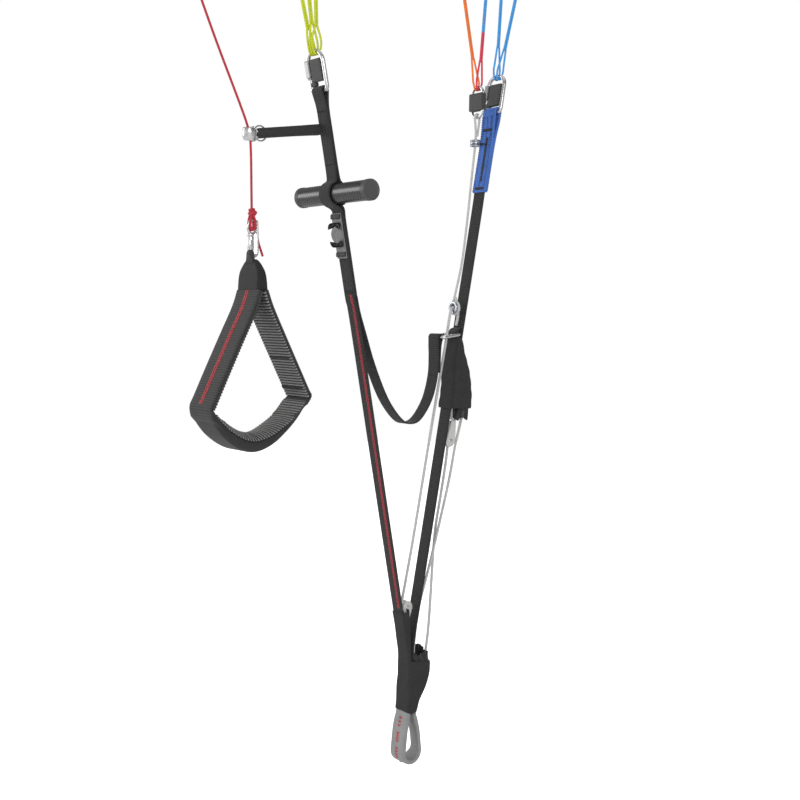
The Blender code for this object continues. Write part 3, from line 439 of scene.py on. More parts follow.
def between(rows, z):
    """Values at height z from rows that start with a height, on smooth curves through the rows."""
    if z <= rows[0][0]:
        return rows[0][1:]
    for i, (low, high) in enumerate(zip(rows, rows[1:])):
        if z <= high[0]:
            before, after = rows[max(i - 1, 0)], rows[min(i + 2, len(rows) - 1)]
            span = high[0] - low[0]
            t = (z - low[0]) / span
            values = []
            for k in range(1, len(low)):
                m0 = (high[k] - before[k]) / (high[0] - before[0]) * span
                m1 = (after[k] - low[k]) / (after[0] - low[0]) * span
                values.append((2 * t ** 3 - 3 * t * t + 1) * low[k] + (t ** 3 - 2 * t * t + t) * m0
                    + (3 * t * t - 2 * t ** 3) * high[k] + (t ** 3 - t * t) * m1)
            return tuple(values)
    return rows[-1][1:]


def fabric_tube(name, table, centre, corner, wall, finish, crease, step=0.0009, rim=None):
    """A fabric sleeve open at both ends, from rows of height, reach back, reach front and half width.

    centre(z) is its middle line. crease(side, across, z) moves the skin out, where side runs from -1 at the
    back to 1 in front. rim(side, across, top) moves the rims up or down.
    """
    low, high = table[0][0], table[-1][0]
    count = max(4, round((high - low) / step))
    outer, inner = [], []
    for k in range(count + 1):
        z = low + (high - low) * k / count
        back, front, half = between(table, z)
        x0, x1 = centre(z) - back, centre(z) + front
        ring = box_ring(x0, x1, half, z, corner)
        middle = Vector(((x0 + x1) / 2, 0, z))
        bent, lined = [], []
        for i, point in enumerate(ring):
            out = heading(ring, i, closed=True).normalized().cross(UP).normalized()
            if out.dot(point - middle) < 0:
                out = -out
            side = (point.x - middle.x) / ((x1 - x0) / 2)
            from_rim = min(k, count - k)
            swell = crease(side, point.y, z) - 0.00012 * max(0, 2 - from_rim)
            drop = UP * (rim(side, point.y, k > count / 2) * max(0.0, 1 - from_rim / 6) if rim else 0.0)
            bent.append(point + out * swell + drop)
            lined.append(point + out * (swell - wall) + drop)
        outer.append(bent)
        inner.append(lined)
    rings = outer + inner[::-1]
    ups = [low + (high - low) * k / count for k in range(count + 1)]
    places = ups + [2 * high - up for up in ups[::-1]] + [2 * high - low + wall]
    girth = reaches(outer[0], closed=True)
    return skin(name, rings, finish, lambda j: (girth[j], girth[j + 1]), places, closed=True, sharp=60)


def crumpled(name, rings, middle_x, fold, wall, step):
    """Thin lining from level rings, with an inside. fold(point, turn, share) moves a point out and up."""
    outer = []
    for k, ring in enumerate(rings):
        middle = Vector((middle_x(ring[0].z), 0, ring[0].z))
        bent = []
        for point in ring:
            out, up = fold(point, atan2(point.y, point.x - middle.x), k / (len(rings) - 1))
            bent.append(point + (point - middle).normalized() * out + UP * up)
        outer.append(bent)
    inner = [[p + (Vector((middle_x(p.z), 0, p.z)) - p).normalized() * wall for p in ring]
        for ring in outer[::-1]]
    places = [k * step for k in range(2 * len(rings) + 1)]
    return skin(name, outer + inner, "lining", 0.0009, places, closed=True, sharp=60)


def merged(name, pieces):
    """Several mesh objects as one, with the first one's materials first."""
    work = bmesh.new()
    materials = []
    for piece in pieces:
        offset = len(work.faces)
        work.from_mesh(piece.data)
        work.faces.ensure_lookup_table()
        slots = []
        for material in piece.data.materials:
            if material not in materials:
                materials.append(material)
            slots.append(materials.index(material))
        for face in work.faces[offset:]:
            face.material_index = slots[face.material_index]
    mesh = bpy.data.meshes.new(name)
    work.to_mesh(mesh)
    work.free()
    for material in materials:
        mesh.materials.append(material)
    for piece in pieces:
        old = piece.data
        bpy.data.objects.remove(piece)
        bpy.data.meshes.remove(old)
    return shown(name, mesh)


def plate(name, outline, move, finish, bevel):
    """A flat plate from its outline's points, as thick as the move, with eased edges."""
    middle = sum(outline, Vector()) / len(outline)
    unit, thick = move.normalized(), move.length
    rings = []
    for inset, depth in ((bevel, 0.0), (0.0, bevel), (0.0, thick - bevel), (bevel, thick)):
        rings.append([point + (middle - point).normalized() * inset + unit * depth for point in outline])
    return skin(name, rings, finish, 0.0005, [0, 0.001, 0.002, 0.003], sharp=50)


def block(name, centre, along_x, along_z, size, corner, finish):
    """A box with all its edges rounded. along_x and along_z are unit vectors, size is (x, y, z)."""
    along_y = along_z.cross(along_x).normalized()
    half_x, half_y, half_z = (value / 2 for value in size)
    rings = []
    heights = [(-half_z + corner * (1 - cos(t)), corner * (1 - sin(t)))
        for t in (radians(90 * k / 4) for k in range(5))]
    heights += [(-half_z + corner + (size[2] - 2 * corner) * k / 6, 0.0) for k in range(1, 6)]
    heights += [(-h, inset) for h, inset in reversed(heights[:5])]
    for h, inset in heights:
        ring = box_ring(-half_x + inset, half_x - inset, half_y - inset, 0, corner)
        rings.append([centre + along_x * p.x + along_y * p.y + along_z * h for p in ring])
    return skin(name, rings, finish, 0.0006, [h + half_z for h, _ in heights], sharp=50)


# Node trees

SOCKETS = {float: "NodeSocketFloat", int: "NodeSocketInt", tuple: "NodeSocketColor"}


def declare(tree, inputs, bare):
    """Named inputs of a tree with their defaults. One without a default is of the kind named bare."""
    for label, value in inputs.items():
        socket = tree.interface.new_socket(label, in_out="INPUT", socket_type=SOCKETS.get(type(value), bare))
        if value is not None:
            socket.default_value = value


def tree_with(name, inputs):
    """An empty geometry tree with named inputs, its input sockets, and its output node."""
    tree = bpy.data.node_groups.new(name, "GeometryNodeTree")
    tree.is_modifier = True
    tree.interface.new_socket("Geometry", in_out="INPUT", socket_type="NodeSocketGeometry")
    declare(tree, {**inputs, "Material": None}, "NodeSocketMaterial")
    tree.interface.new_socket("Geometry", in_out="OUTPUT", socket_type="NodeSocketGeometry")
    return tree, tree.nodes.new("NodeGroupInput").outputs, tree.nodes.new("NodeGroupOutput")


def feed(tree, socket, value):
    """Set an input to a value, or link it to a socket or to a node's first output."""
    if isinstance(value, Node):
        value = value.outputs[0]
    if isinstance(value, NodeSocket):
        tree.links.new(value, socket)
    else:
        socket.default_value = value


def add(tree, kind, inputs=None, **settings):
    """A node with its settings and its inputs."""
    made = tree.nodes.new(kind)
    for key, value in settings.items():
        setattr(made, key, value)
    for key, value in (inputs or {}).items():
        feed(tree, made.inputs[key], value)
    return made


def maths(tree, operation, a, b=0.0, c=0.0):
    """A Math node's result."""
    return add(tree, "ShaderNodeMath", {0: a, 1: b, 2: c}, operation=operation).outputs[0]


def times(tree, a, b, plus=0.0):
    """The result of a * b + plus."""
    return maths(tree, "MULTIPLY_ADD", a, b, plus)


def end_tree(tree, geometry, given, end):
    """The geometry made real, smooth shaded and given its material, at the tree's output."""
    real = add(tree, "GeometryNodeRealizeInstances", {"Geometry": geometry})
    soft = add(tree, "GeometryNodeSetShadeSmooth", {"Geometry": real})
    done = add(tree, "GeometryNodeSetMaterial", {"Geometry": soft, "Material": given["Material"]})
    feed(tree, end.inputs["Geometry"], done)
    return tree


def stitch_tree():
    """Stitches along a guide: each is a short thread laid on the guide's face and let in at both ends."""
    tree, given, end = tree_with("Stitches", {"Pitch": 0.002, "Length": 0.0016, "Thread Radius": 0.0002,
        "Slant": 0.0, "Lean": 0.0, "Seed": 7})
    guide = add(tree, "GeometryNodeMeshToCurve", {"Mesh": given["Geometry"]})
    spaced = add(tree, "GeometryNodeResampleCurve", {"Curve": guide, "Length": given["Pitch"]}, mode="LENGTH")
    tangent = add(tree, "GeometryNodeInputTangent")
    face = add(tree, "GeometryNodeInputNamedAttribute", {"Name": "face_out"}, data_type="FLOAT_VECTOR")
    turned = add(tree, "FunctionNodeAlignRotationToVector", {"Vector": tangent}, axis="X")
    laid = add(tree, "FunctionNodeAlignRotationToVector", {"Rotation": turned, "Vector": face}, axis="Z",
        pivot_axis="X")
    index = add(tree, "GeometryNodeInputIndex")
    even_odd = maths(tree, "MODULO", index, 2.0)
    swing = times(tree, even_odd, 2.0, -1.0)
    uneven = add(tree, "FunctionNodeRandomValue", {2: -0.05, 3: 0.05, "Seed": given["Seed"]},
        data_type="FLOAT")
    slant = times(tree, swing, given["Slant"], uneven.outputs[1])
    slant = maths(tree, "ADD", slant, given["Lean"])
    tilt = add(tree, "FunctionNodeAxisAngleToRotation", {"Axis": (0, 0, 1), "Angle": slant})
    rotation = add(tree, "FunctionNodeRotateRotation", {"Rotation": laid, "Rotate By": tilt},
        rotation_space="LOCAL")
    grain = add(tree, "GeometryNodeMeshUVSphere", {"Segments": 8, "Rings": 7})
    half = times(tree, given["Length"], 0.5)
    shape = add(tree, "ShaderNodeCombineXYZ", {"X": half, "Y": given["Thread Radius"],
        "Z": given["Thread Radius"]})
    placed = add(tree, "GeometryNodeInstanceOnPoints", {"Points": spaced, "Instance": grain,
        "Rotation": rotation, "Scale": shape})
    return end_tree(tree, placed, given, end)


def wire_tree():
    """Round wire along a guide, open or closed."""
    tree, given, end = tree_with("Bent Wire", {"Radius": 0.001, "Sides": 16})
    guide = add(tree, "GeometryNodeMeshToCurve", {"Mesh": given["Geometry"]})
    ring = add(tree, "GeometryNodeCurvePrimitiveCircle", {"Resolution": given["Sides"],
        "Radius": given["Radius"]}, mode="RADIUS")
    body = add(tree, "GeometryNodeCurveToMesh", {"Curve": guide, "Profile Curve": ring, "Fill Caps": True})
    return end_tree(tree, body, given, end)


def grown(name, guide_points, tree, inputs, closed=False, face_out=None):
    """A tree's result along a guide, as a plain mesh object. face_out is one vector or one for each point."""
    count = len(guide_points)
    mesh = bpy.data.meshes.new(name)
    edges = [(i, i + 1) for i in range(count - 1)] + ([(count - 1, 0)] if closed else [])
    mesh.from_pydata([tuple(point) for point in guide_points], edges, [])
    if face_out is not None:
        vectors = [face_out] * count if isinstance(face_out, Vector) else face_out
        attribute = mesh.attributes.new("face_out", "FLOAT_VECTOR", "POINT")
        attribute.data.foreach_set("vector", [value for vector in vectors for value in vector])
    guide = shown(name + "_guide", mesh)
    modifier = guide.modifiers.new("shape", "NODES")
    modifier.node_group = tree
    sockets = {item.name: item.identifier for item in tree.interface.items_tree if item.in_out == "INPUT"}
    for label, value in inputs.items():
        modifier[sockets[label]] = value
    guide.update_tag()
    graph = bpy.context.evaluated_depsgraph_get()
    result = bpy.data.meshes.new_from_object(guide.evaluated_get(graph))
    result.name = name
    guide.modifiers.remove(modifier)
    bpy.data.objects.remove(guide)
    bpy.data.meshes.remove(mesh)
    if "face_out" in result.attributes:
        result.attributes.remove(result.attributes["face_out"])
    return shown(name, result)


TREES = {}


def seam(guide_points, face_out, finish="black_thread", pitch=None, length=None, radius=None, slant=0.0,
        lean=0.0, name="seam"):
    """A row of stitches on a face, slanted to one side and the other in turn, or leaning all one way."""
    size = sizes()
    pitch = pitch or size.seam_pitch
    return grown(name, guide_points, TREES["stitches"], {
        "Pitch": pitch, "Length": length or pitch * 0.82, "Thread Radius": radius or size.thread_radius,
        "Slant": slant, "Lean": lean, "Seed": size.seed, "Material": FINISHES[finish],
    }, face_out=face_out)


def wire(name, guide_points, radius, sides=12):
    """Bent round steel wire that closes on itself."""
    return grown(name, guide_points, TREES["wire"], {"Radius": radius, "Sides": sides,
        "Material": FINISHES["steel"]}, closed=True)


def keep(obj, body, slot, *nodes):
    """Ride a finished piece on its body, and hide the nodes it stands for. The slot is not used."""
    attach(obj, body)
    if nodes:
        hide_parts(*nodes)
    return obj


# Shader groups


def shader_group(name, inputs, outputs):
    """An empty shader group with named sockets, its input sockets, and its output node."""
    tree = bpy.data.node_groups.new(name, "ShaderNodeTree")
    declare(tree, {"Place": None, **inputs}, "NodeSocketVector")
    for label in outputs:
        kind = "NodeSocketColor" if label == "Colour" else "NodeSocketFloat"
        tree.interface.new_socket(label, in_out="OUTPUT", socket_type=kind)
    return tree, tree.nodes.new("NodeGroupInput").outputs, tree.nodes.new("NodeGroupOutput")


def end_group(tree, end, **results):
    """The group with its results linked to the outputs of those names."""
    for label, socket in results.items():
        feed(tree, end.inputs[label], socket)
    return tree


def wave(tree, value):
    """The height of a row of round ridges, one for each whole number."""
    return maths(tree, "ABSOLUTE", maths(tree, "SINE", times(tree, value, pi)))


def split(tree, place):
    return add(tree, "ShaderNodeSeparateXYZ", {0: place}).outputs


def checks(tree, a, b):
    """0 and 1 by turns over the squares that two running values make."""
    cells = maths(tree, "ADD", maths(tree, "FLOOR", a), maths(tree, "FLOOR", b))
    return maths(tree, "FLOORED_MODULO", cells, 2.0)


def weave_group():
    """Woven webbing: ribs across it, and threads that lie over each second rib. Its Shade is painted shade:
    the colour darkened between ribs and threads, and a little lighter on their crests.
    """
    tree, given, end = shader_group("Webbing Weave", {"Rib": 0.001, "Thread": 0.0006, "Low": 0.62,
        "Power": 0.6}, ("Height", "Shade"))
    parts = split(tree, given["Place"])
    row = maths(tree, "DIVIDE", parts["Y"], given["Rib"])
    column = maths(tree, "DIVIDE", parts["X"], given["Thread"])
    odd = maths(tree, "FLOORED_MODULO", maths(tree, "FLOOR", row), 2.0)
    thread = wave(tree, times(tree, odd, 0.5, column))
    rib = maths(tree, "POWER", wave(tree, row), given["Power"])
    height = times(tree, rib, times(tree, thread, 0.5, 0.5))
    # Painted shade: the colour falls to Low in the grooves and rises a little over itself on the crests
    shade = times(tree, height, maths(tree, "SUBTRACT", 1.07, given["Low"]), given["Low"])
    return end_group(tree, end, Height=height, Shade=shade)


def braid_group():
    """Braided cover of a cord: strands cross over and under each other round it."""
    tree, given, end = shader_group("Cord Braid", {"Strands": 8.0, "Pitch": 0.002}, ("Height", "Over"))
    parts = split(tree, given["Place"])
    turn = times(tree, parts["X"], given["Strands"])
    rise = maths(tree, "DIVIDE", parts["Y"], given["Pitch"])
    right, left = maths(tree, "ADD", turn, rise), maths(tree, "SUBTRACT", turn, rise)
    over, first = checks(tree, right, left), wave(tree, right)
    change = maths(tree, "SUBTRACT", wave(tree, left), first)
    return end_group(tree, end, Height=times(tree, over, change, first), Over=over)


def wear_group():
    """Uneven colour: faint patches, and pale fuzz or dust where the noise is high."""
    tree, given, end = shader_group("Wear and Dust", {"Colour": (0.5, 0.5, 0.5, 1),
        "Dust": (0.3, 0.3, 0.3, 1), "Patches": 0.15, "Amount": 0.1, "Scale": 120.0}, ("Colour", "Mask"))
    broad = add(tree, "ShaderNodeTexNoise", {"Vector": given["Place"], "Scale": given["Scale"],
        "Detail": 3.0})
    fine = add(tree, "ShaderNodeTexNoise", {"Vector": given["Place"],
        "Scale": times(tree, given["Scale"], 14.0), "Detail": 2.0})
    swing = maths(tree, "SUBTRACT", broad, 0.5)
    bright = times(tree, swing, times(tree, given["Patches"], 2.0), 1.0)
    mask = add(tree, "ShaderNodeMapRange", {"Value": fine, "From Min": 0.5, "From Max": 0.72})
    blend = add(tree, "ShaderNodeMix", {"Factor": times(tree, mask, given["Amount"]),
        6: scaled(tree, given["Colour"], bright), 7: given["Dust"]}, data_type="RGBA")
    return end_group(tree, end, Colour=blend.outputs[2], Mask=mask)


def grain_group():
    """Fine scratches and smears on metal and plastic."""
    tree, given, end = shader_group("Surface Grain", {"Scale": 900.0, "Smooth": 0.15, "Rough": 0.35},
        ("Roughness", "Height"))
    drawn = add(tree, "ShaderNodeMapping", {"Vector": given["Place"], "Scale": (1.0, 1.0, 0.12)})
    fine = add(tree, "ShaderNodeTexNoise", {"Vector": drawn, "Scale": given["Scale"], "Detail": 4.0})
    smear = add(tree, "ShaderNodeTexNoise", {"Vector": given["Place"], "Scale": 110.0, "Detail": 2.0})
    mixed = times(tree, smear, 0.6, times(tree, fine, 0.4))
    rough = add(tree, "ShaderNodeMapRange", {"Value": mixed, "From Min": 0.35, "From Max": 0.65,
        "To Min": given["Smooth"], "To Max": given["Rough"]})
    return end_group(tree, end, Roughness=rough, Height=fine)


def twill_group():
    """Carbon plain weave: square tows that run round and along by turns."""
    tree, given, end = shader_group("Carbon Weave", {"Round": 36.0, "Tow": 0.0014}, ("Over", "Height"))
    parts = split(tree, given["Place"])
    column = times(tree, parts["X"], given["Round"])
    row = maths(tree, "DIVIDE", parts["Y"], given["Tow"])
    over = maths(tree, "LESS_THAN", checks(tree, column, row), 0.5)
    across, down = wave(tree, column), wave(tree, row)
    height = times(tree, over, maths(tree, "SUBTRACT", across, down), down)
    return end_group(tree, end, Over=over, Height=height)


# Materials

GROUPS = {}
FINISHES = {}


def new_material(name, roughness, metallic=0.0, sheen=0.0, specular=0.5, coat=0.0, coat_roughness=0.1):
    """A material with its plain values set, its tree and shader, and a place in Object coordinates."""
    material = bpy.data.materials.new(name)
    material.use_nodes = True
    tree = material.node_tree
    shader = tree.nodes["Principled BSDF"]
    values = {"Roughness": roughness, "Metallic": metallic, "Sheen Weight": sheen, "Sheen Roughness": 0.5,
        "Specular IOR Level": specular, "Coat Weight": coat, "Coat Roughness": coat_roughness}
    for label, value in values.items():
        feed(tree, shader.inputs[label], value)
    return material, tree, shader, add(tree, "ShaderNodeTexCoord").outputs["Object"]


def use(tree, group, inputs):
    """One of the shared groups, placed with its own values."""
    return add(tree, "ShaderNodeGroup", inputs, node_tree=GROUPS[group]).outputs


def rgb(value):
    return (*value, 1)


def worn(tree, spot, colour, dust, patches, amount, scale):
    """The colour with the wear group's patches and dust."""
    return use(tree, "wear", {"Place": spot, "Colour": colour, "Dust": rgb(dust), "Patches": patches,
        "Amount": amount, "Scale": scale})["Colour"]


def own_uv(tree):
    return add(tree, "ShaderNodeUVMap", uv_map="UVMap").outputs["UV"]


def bump(tree, shader, height, distance, strength=1.0):
    made = add(tree, "ShaderNodeBump", {"Height": height, "Distance": distance, "Strength": strength})
    feed(tree, shader.inputs["Normal"], made)


def scaled(tree, colour, factor):
    return add(tree, "ShaderNodeVectorMath", {0: colour, "Scale": factor},
        operation="SCALE").outputs["Vector"]


def woven(name, colour, rib, thread, depth, dust=(0.16, 0.16, 0.16), low=0.62, power=0.6):
    """Woven webbing on the piece's own UV map."""
    material, tree, shader, spot = new_material(name, 0.82, sheen=0.12, specular=0.2)
    weave = use(tree, "weave", {"Place": own_uv(tree), "Rib": rib, "Thread": thread, "Low": low,
        "Power": power})
    base = worn(tree, spot, rgb(colour), dust, 0.16, 0.08, 90.0)
    # Painted shade and highlight: the base colour scaled darker in the weave's grooves and lighter on its
    # ribs
    feed(tree, shader.inputs["Base Color"], scaled(tree, base, weave["Shade"]))
    bump(tree, shader, weave["Height"], depth)
    return material


def braided(name, colour, strands=6.0, pitch=0.0018, upper=None):
    """Braided cord on the piece's own UV map. upper is (colour, height) for an end of another colour."""
    material, tree, shader, spot = new_material(name, 0.62, sheen=0.15, specular=0.4)
    braid = use(tree, "braid", {"Place": own_uv(tree), "Strands": strands, "Pitch": pitch})
    base = rgb(colour)
    if upper:
        change = add(tree, "ShaderNodeMapRange", {"Value": split(tree, spot)["Z"],
            "From Min": upper[1] - 0.0008, "From Max": upper[1] + 0.0008})
        base = add(tree, "ShaderNodeMix", {"Factor": change, 6: base, 7: rgb(upper[0])},
            data_type="RGBA").outputs[2]
    base = worn(tree, spot, base, (0.8, 0.8, 0.8), 0.12, 0.04, 200.0)
    # Painted shade: the colour darker down in the gaps between strands and on the strands that run under
    dark = 0.94
    shade = times(tree, braid["Height"], 1 - dark, dark)
    shade = times(tree, shade, times(tree, braid["Over"], 0.12, 0.94))
    feed(tree, shader.inputs["Base Color"], scaled(tree, base, shade))
    bump(tree, shader, braid["Height"], 0.00001)
    return material


def cloth(name, colour, grain_scale, depth, sheen, roughness, specular):
    """Plain fabric or rubber with a fine grain, on Object coordinates."""
    material, tree, shader, spot = new_material(name, roughness, sheen=sheen, specular=specular)
    base = worn(tree, spot, rgb(colour), (0.2, 0.2, 0.2), 0.2, 0.06, 70.0)
    feed(tree, shader.inputs["Base Color"], base)
    grain = add(tree, "ShaderNodeTexVoronoi", {"Vector": spot, "Scale": grain_scale})
    bump(tree, shader, grain, depth, 0.6)
    return material


def polished(name, colour, smoothest, roughest, dust=None, scale=900.0, depth=0.00001, metallic=0.0,
        specular=0.5):
    """Metal or moulded plastic with fine scratches, on Object coordinates."""
    material, tree, shader, spot = new_material(name, 0.3, metallic=metallic, specular=specular)
    grain = use(tree, "grain", {"Place": spot, "Scale": scale, "Smooth": smoothest, "Rough": roughest})
    base = worn(tree, spot, rgb(colour), dust or colour, 0.1, 0.1 if dust else 0.0, 160.0)
    feed(tree, shader.inputs["Base Color"], base)
    feed(tree, shader.inputs["Roughness"], grain["Roughness"])
    bump(tree, shader, grain["Height"], depth, 0.5)
    return material


def thread(name, colour):
    """Sewing thread: a bright twist, on Object coordinates."""
    material, tree, shader, spot = new_material(name, 0.55, sheen=0.3, specular=0.4)
    base = worn(tree, spot, rgb(colour), [min(1, c * 1.8) for c in colour], 0.3, 0.25, 400.0)
    feed(tree, shader.inputs["Base Color"], base)
    twist = add(tree, "ShaderNodeTexWave", {"Vector": spot, "Scale": 1400.0, "Distortion": 2.0},
        bands_direction="DIAGONAL")
    bump(tree, shader, twist.outputs["Fac"], 0.00004, 0.5)
    return material


def carbon(name, colour):
    """Lacquered carbon twill on the piece's own UV map."""
    material, tree, shader, spot = new_material(name, 0.4, specular=0.3, coat=0.6, coat_roughness=0.22)
    twill = use(tree, "twill", {"Place": own_uv(tree), "Round": 32.0, "Tow": 0.0014})
    base = worn(tree, spot, rgb(colour), (0.2, 0.2, 0.2), 0.1, 0.03, 200.0)
    # Painted reflection: the checks whose tows run one way are painted several times lighter than the others,
    # as the lacquered weave catches light
    shade = times(tree, twill["Over"], 2.0, 0.3)
    feed(tree, shader.inputs["Base Color"], scaled(tree, base, shade))
    feed(tree, shader.inputs["Roughness"], times(tree, twill["Over"], -0.1, 0.46))
    bump(tree, shader, twill["Height"], 0.00001, 0.3)
    return material


def make_finishes():
    """Every finish of the set, from the shared groups and the chosen colours."""
    GROUPS.update(weave=weave_group(), braid=braid_group(), wear=wear_group(), grain=grain_group(),
        twill=twill_group())
    TREES.update(stitches=stitch_tree(), wire=wire_tree())
    size, colour = sizes(), colours()
    # Painted shade: the handle cap gets this darker copy of the covers' neoprene, to dull its lit top
    dim = [value * 0.62 for value in colour.neoprene]
    metal = {"scale": 260.0, "depth": 0.0, "metallic": 1.0}
    FINISHES.update(
        webbing=woven("Riser webbing", colour.webbing, size.web_rib, 0.0006, 0.00012, low=0.45),
        upper_webbing=woven("Doubled webbing", colour.webbing, 0.0009, 0.001, 0.00005, low=0.8),
        handle_web=woven("Handle webbing", colour.handle_web, size.handle_rib, 0.0007, 0.00006, low=0.45),
        # Painted highlight and shade: a pale lit copy of the handle webbing, its ribs bright and its gaps
        # nearly black
        ladder_web=woven("Handle lining webbing painted lit", colour.ladder, size.ladder_rib, 0.0012, 0.00006,
                         (0.3, 0.3, 0.3), 0.03, 1.8),
        loop=woven("Loop webbing", colour.loop, 0.0009, 0.0007, 0.00004, (0.4, 0.4, 0.4), 0.85),
        sleeve=woven("Sleeve webbing", colour.sleeve, 0.0007, 0.0006, 0.00006, (0.15, 0.28, 0.6), 0.8),
        neoprene=cloth("Neoprene", colour.neoprene, 2600.0, 0.00004, 0.08, 0.85, 0.15),
        lining=cloth("Lining", colour.lining, 1500.0, 0.00008, 0.35, 0.5, 0.3),
        keeper=cloth("Link keeper rubber", colour.keeper, 1800.0, 0.00003, 0.05, 0.6, 0.4),
        grip=cloth("Grip cover", colour.neoprene, 2600.0, 0.00004, 0.1, 0.65, 0.2),
        cap_cover=cloth("Cap cover", dim, 2600.0, 0.00004, 0.05, 0.65, 0.2),
        steel=polished("Polished steel", colour.steel, 0.26, 0.3, **metal),
        ring=polished("Ring metal", colour.ring_metal, 0.22, 0.27, **metal),
        gloss=polished("Gloss black", colour.lining, 0.42, 0.55, specular=0.3),
        pulley=polished("Pulley plastic", colour.pulley, 0.35, 0.55, (0.3, 0.3, 0.3)),
        cap=polished("Cap plastic", colour.cap, 0.4, 0.6, (0.2, 0.2, 0.2)),
        parking=polished("Parking strip", colour.parking, 0.5, 0.7, (0.25, 0.25, 0.25)),
        carbon=carbon("Carbon twill", colour.carbon),
        speed_cord=braided("Speed cord", colour.speed_cord, 8.0, 0.002),
        crimson_line=braided("Crimson line", colour.crimson_line, upper=(colour.blue_line, 0.5814)),
        brake_line=braided("Brake line", colour.brake_line, pitch=0.002),
        red_thread=thread("Red thread", colour.red_thread),
        black_thread=thread("Black thread", (0.012, 0.012, 0.013)),
        navy_thread=thread("Navy thread", (0.01, 0.03, 0.14)),
        crimson_thread=thread("Crimson thread", colour.crimson_line),
    )
    for tone in ("green", "blue", "orange"):
        shade = getattr(colour, tone + "_line")
        FINISHES[tone + "_line"] = braided(tone.capitalize() + " line", shade)
        FINISHES[tone + "_thread"] = thread(tone.capitalize() + " thread", shade)


# The set's own routes

LAYER = 0.0016 / 2 + GAP / 2
FOLD_RADIUS = 0.003
WRAP = ROLL_OUTER + 0.0006 + 0.0016 / 2
LOOP_HALF_GAP, LOOP_BOTTOM_Z = 0.007, 0.0034


def loop_path():
    """The main loop's middle line, down the back leg, round the bottom and up the front one."""
    bottom = arc((0, LOOP_BOTTOM_Z), LOOP_HALF_GAP + 0.0013, 180, 360, 14)
    leg = [(-0.002, 0.0496), (-0.0021, 0.043), (-0.003, 0.0345), (-0.0062, 0.021), bottom[0]]
    left = [(point.x, point.z) for point in smooth(in_xz(leg), 6)]
    return in_xz(left[:-1] + bottom + [(-x, z) for x, z in reversed(left)][1:])


def roll_bulge(side):
    """One layer's way round the roll handle, from below to above. side: -1 back, 1 front."""
    x, z = ROLL_CENTRE.x, ROLL_CENTRE.z
    reach = 0.0112
    points = [(x + side * WRAP * cos(turn), z + WRAP * sin(turn)) for turn in (radians(-68 + 136 * k / 8)
        for k in range(9))]
    low = (rear_x(z - reach) + side * (LAYER + 0.0004), z - reach)
    high = (rear_x(z + reach) + side * (LAYER + 0.0004), z + reach)
    return [low] + points + [high]


def rear_lower_path():
    foot = [(-0.0017, RISER_FLOOR_Z), (-0.0019, 0.062), (rear_x(0.09) - 0.0002, 0.09)]
    rise = [(rear_x(z), z) for z in (0.14, 0.25, 0.35)]
    rise += [(rear_x(z) - LAYER, z) for z in (TAIL_END_Z, 0.423)]
    return [point for point in smooth(in_xz(foot + rise), 12) if point.z < TAIL_END_Z + 0.001]


def rear_upper_path():
    up = [(rear_x(z) - LAYER, z) for z in (TAIL_END_Z - 0.0008, 0.4, 0.423)] + roll_bulge(-1)
    up += [(rear_x(z) - LAYER, z) for z in (0.468, 0.485, 0.503)]
    turn = arc((rear_x(REAR_TOP_Z), REAR_TOP_Z), 0.0029, 190, -10, 8)
    down = [(rear_x(z) + LAYER, z) for z in (0.503, 0.485, 0.468)] + list(reversed(roll_bulge(1)))
    down += [(rear_x(z) + LAYER, z) for z in (0.423, 0.4, TAIL_END_Z + 0.0006)]
    return smooth(in_xz(up + turn + down), 4)


def front_fold_path():
    """The coloured layers' way over the link's bar, from inside the sleeve and back."""
    bar = (front_x(FRONT_TOP_Z), FRONT_TOP_Z)
    up = [(front_x(z) - out, z) for z, out in ((0.496, 0.0013), (0.504, 0.0016), (0.511, 0.0024))]
    down = [(front_x(z) + out, z) for z, out in ((0.511, 0.003), (0.504, 0.0022), (0.496, 0.0014))]
    return smooth(in_xz(up + arc(bar, FOLD_RADIUS, 165, -5, 9) + down), 4)


def front_path():
    foot = [(0.0017, RISER_FLOOR_Z), (0.0019, 0.062), (front_x(0.09) + 0.0002, 0.09)]
    rise = [(front_x(z), z) for z in (0.14, 0.29, 0.438)]
    rise += [(front_x(z) - LAYER, z) for z in (0.456, 0.49)]
    return smooth(in_xz(foot + rise), 5)


def link_strap_path():
    thick = 0.0014
    face = (0.0016 + thick) / 2 + GAP
    hung = [
        (rear_x(0.372) + LAYER * 0.2, 0.372), (rear_x(0.367) - LAYER * 0.6 + face, 0.367),
        (rear_x(0.356) + face, 0.356), (-0.044, 0.338),
        (-0.0363, 0.3167), (-0.0234, 0.29), (-0.0093, 0.273), (0.0011, 0.269), (0.011, 0.2722),
        (0.0222, 0.2865), (0.0283, 0.305), (0.0294, 0.32), (0.029, 0.3318),
    ]
    fold = arc((0.0316, 0.3358), 0.0011 + thick / 2 + GAP + 0.0003, 170, -10, 7)
    back = [(0.0322, 0.3296), (0.0314, 0.319), (0.0309, 0.3075)]
    return smooth(in_xz(hung), 4)[:-1] + smooth(in_xz(fold + back), 3)


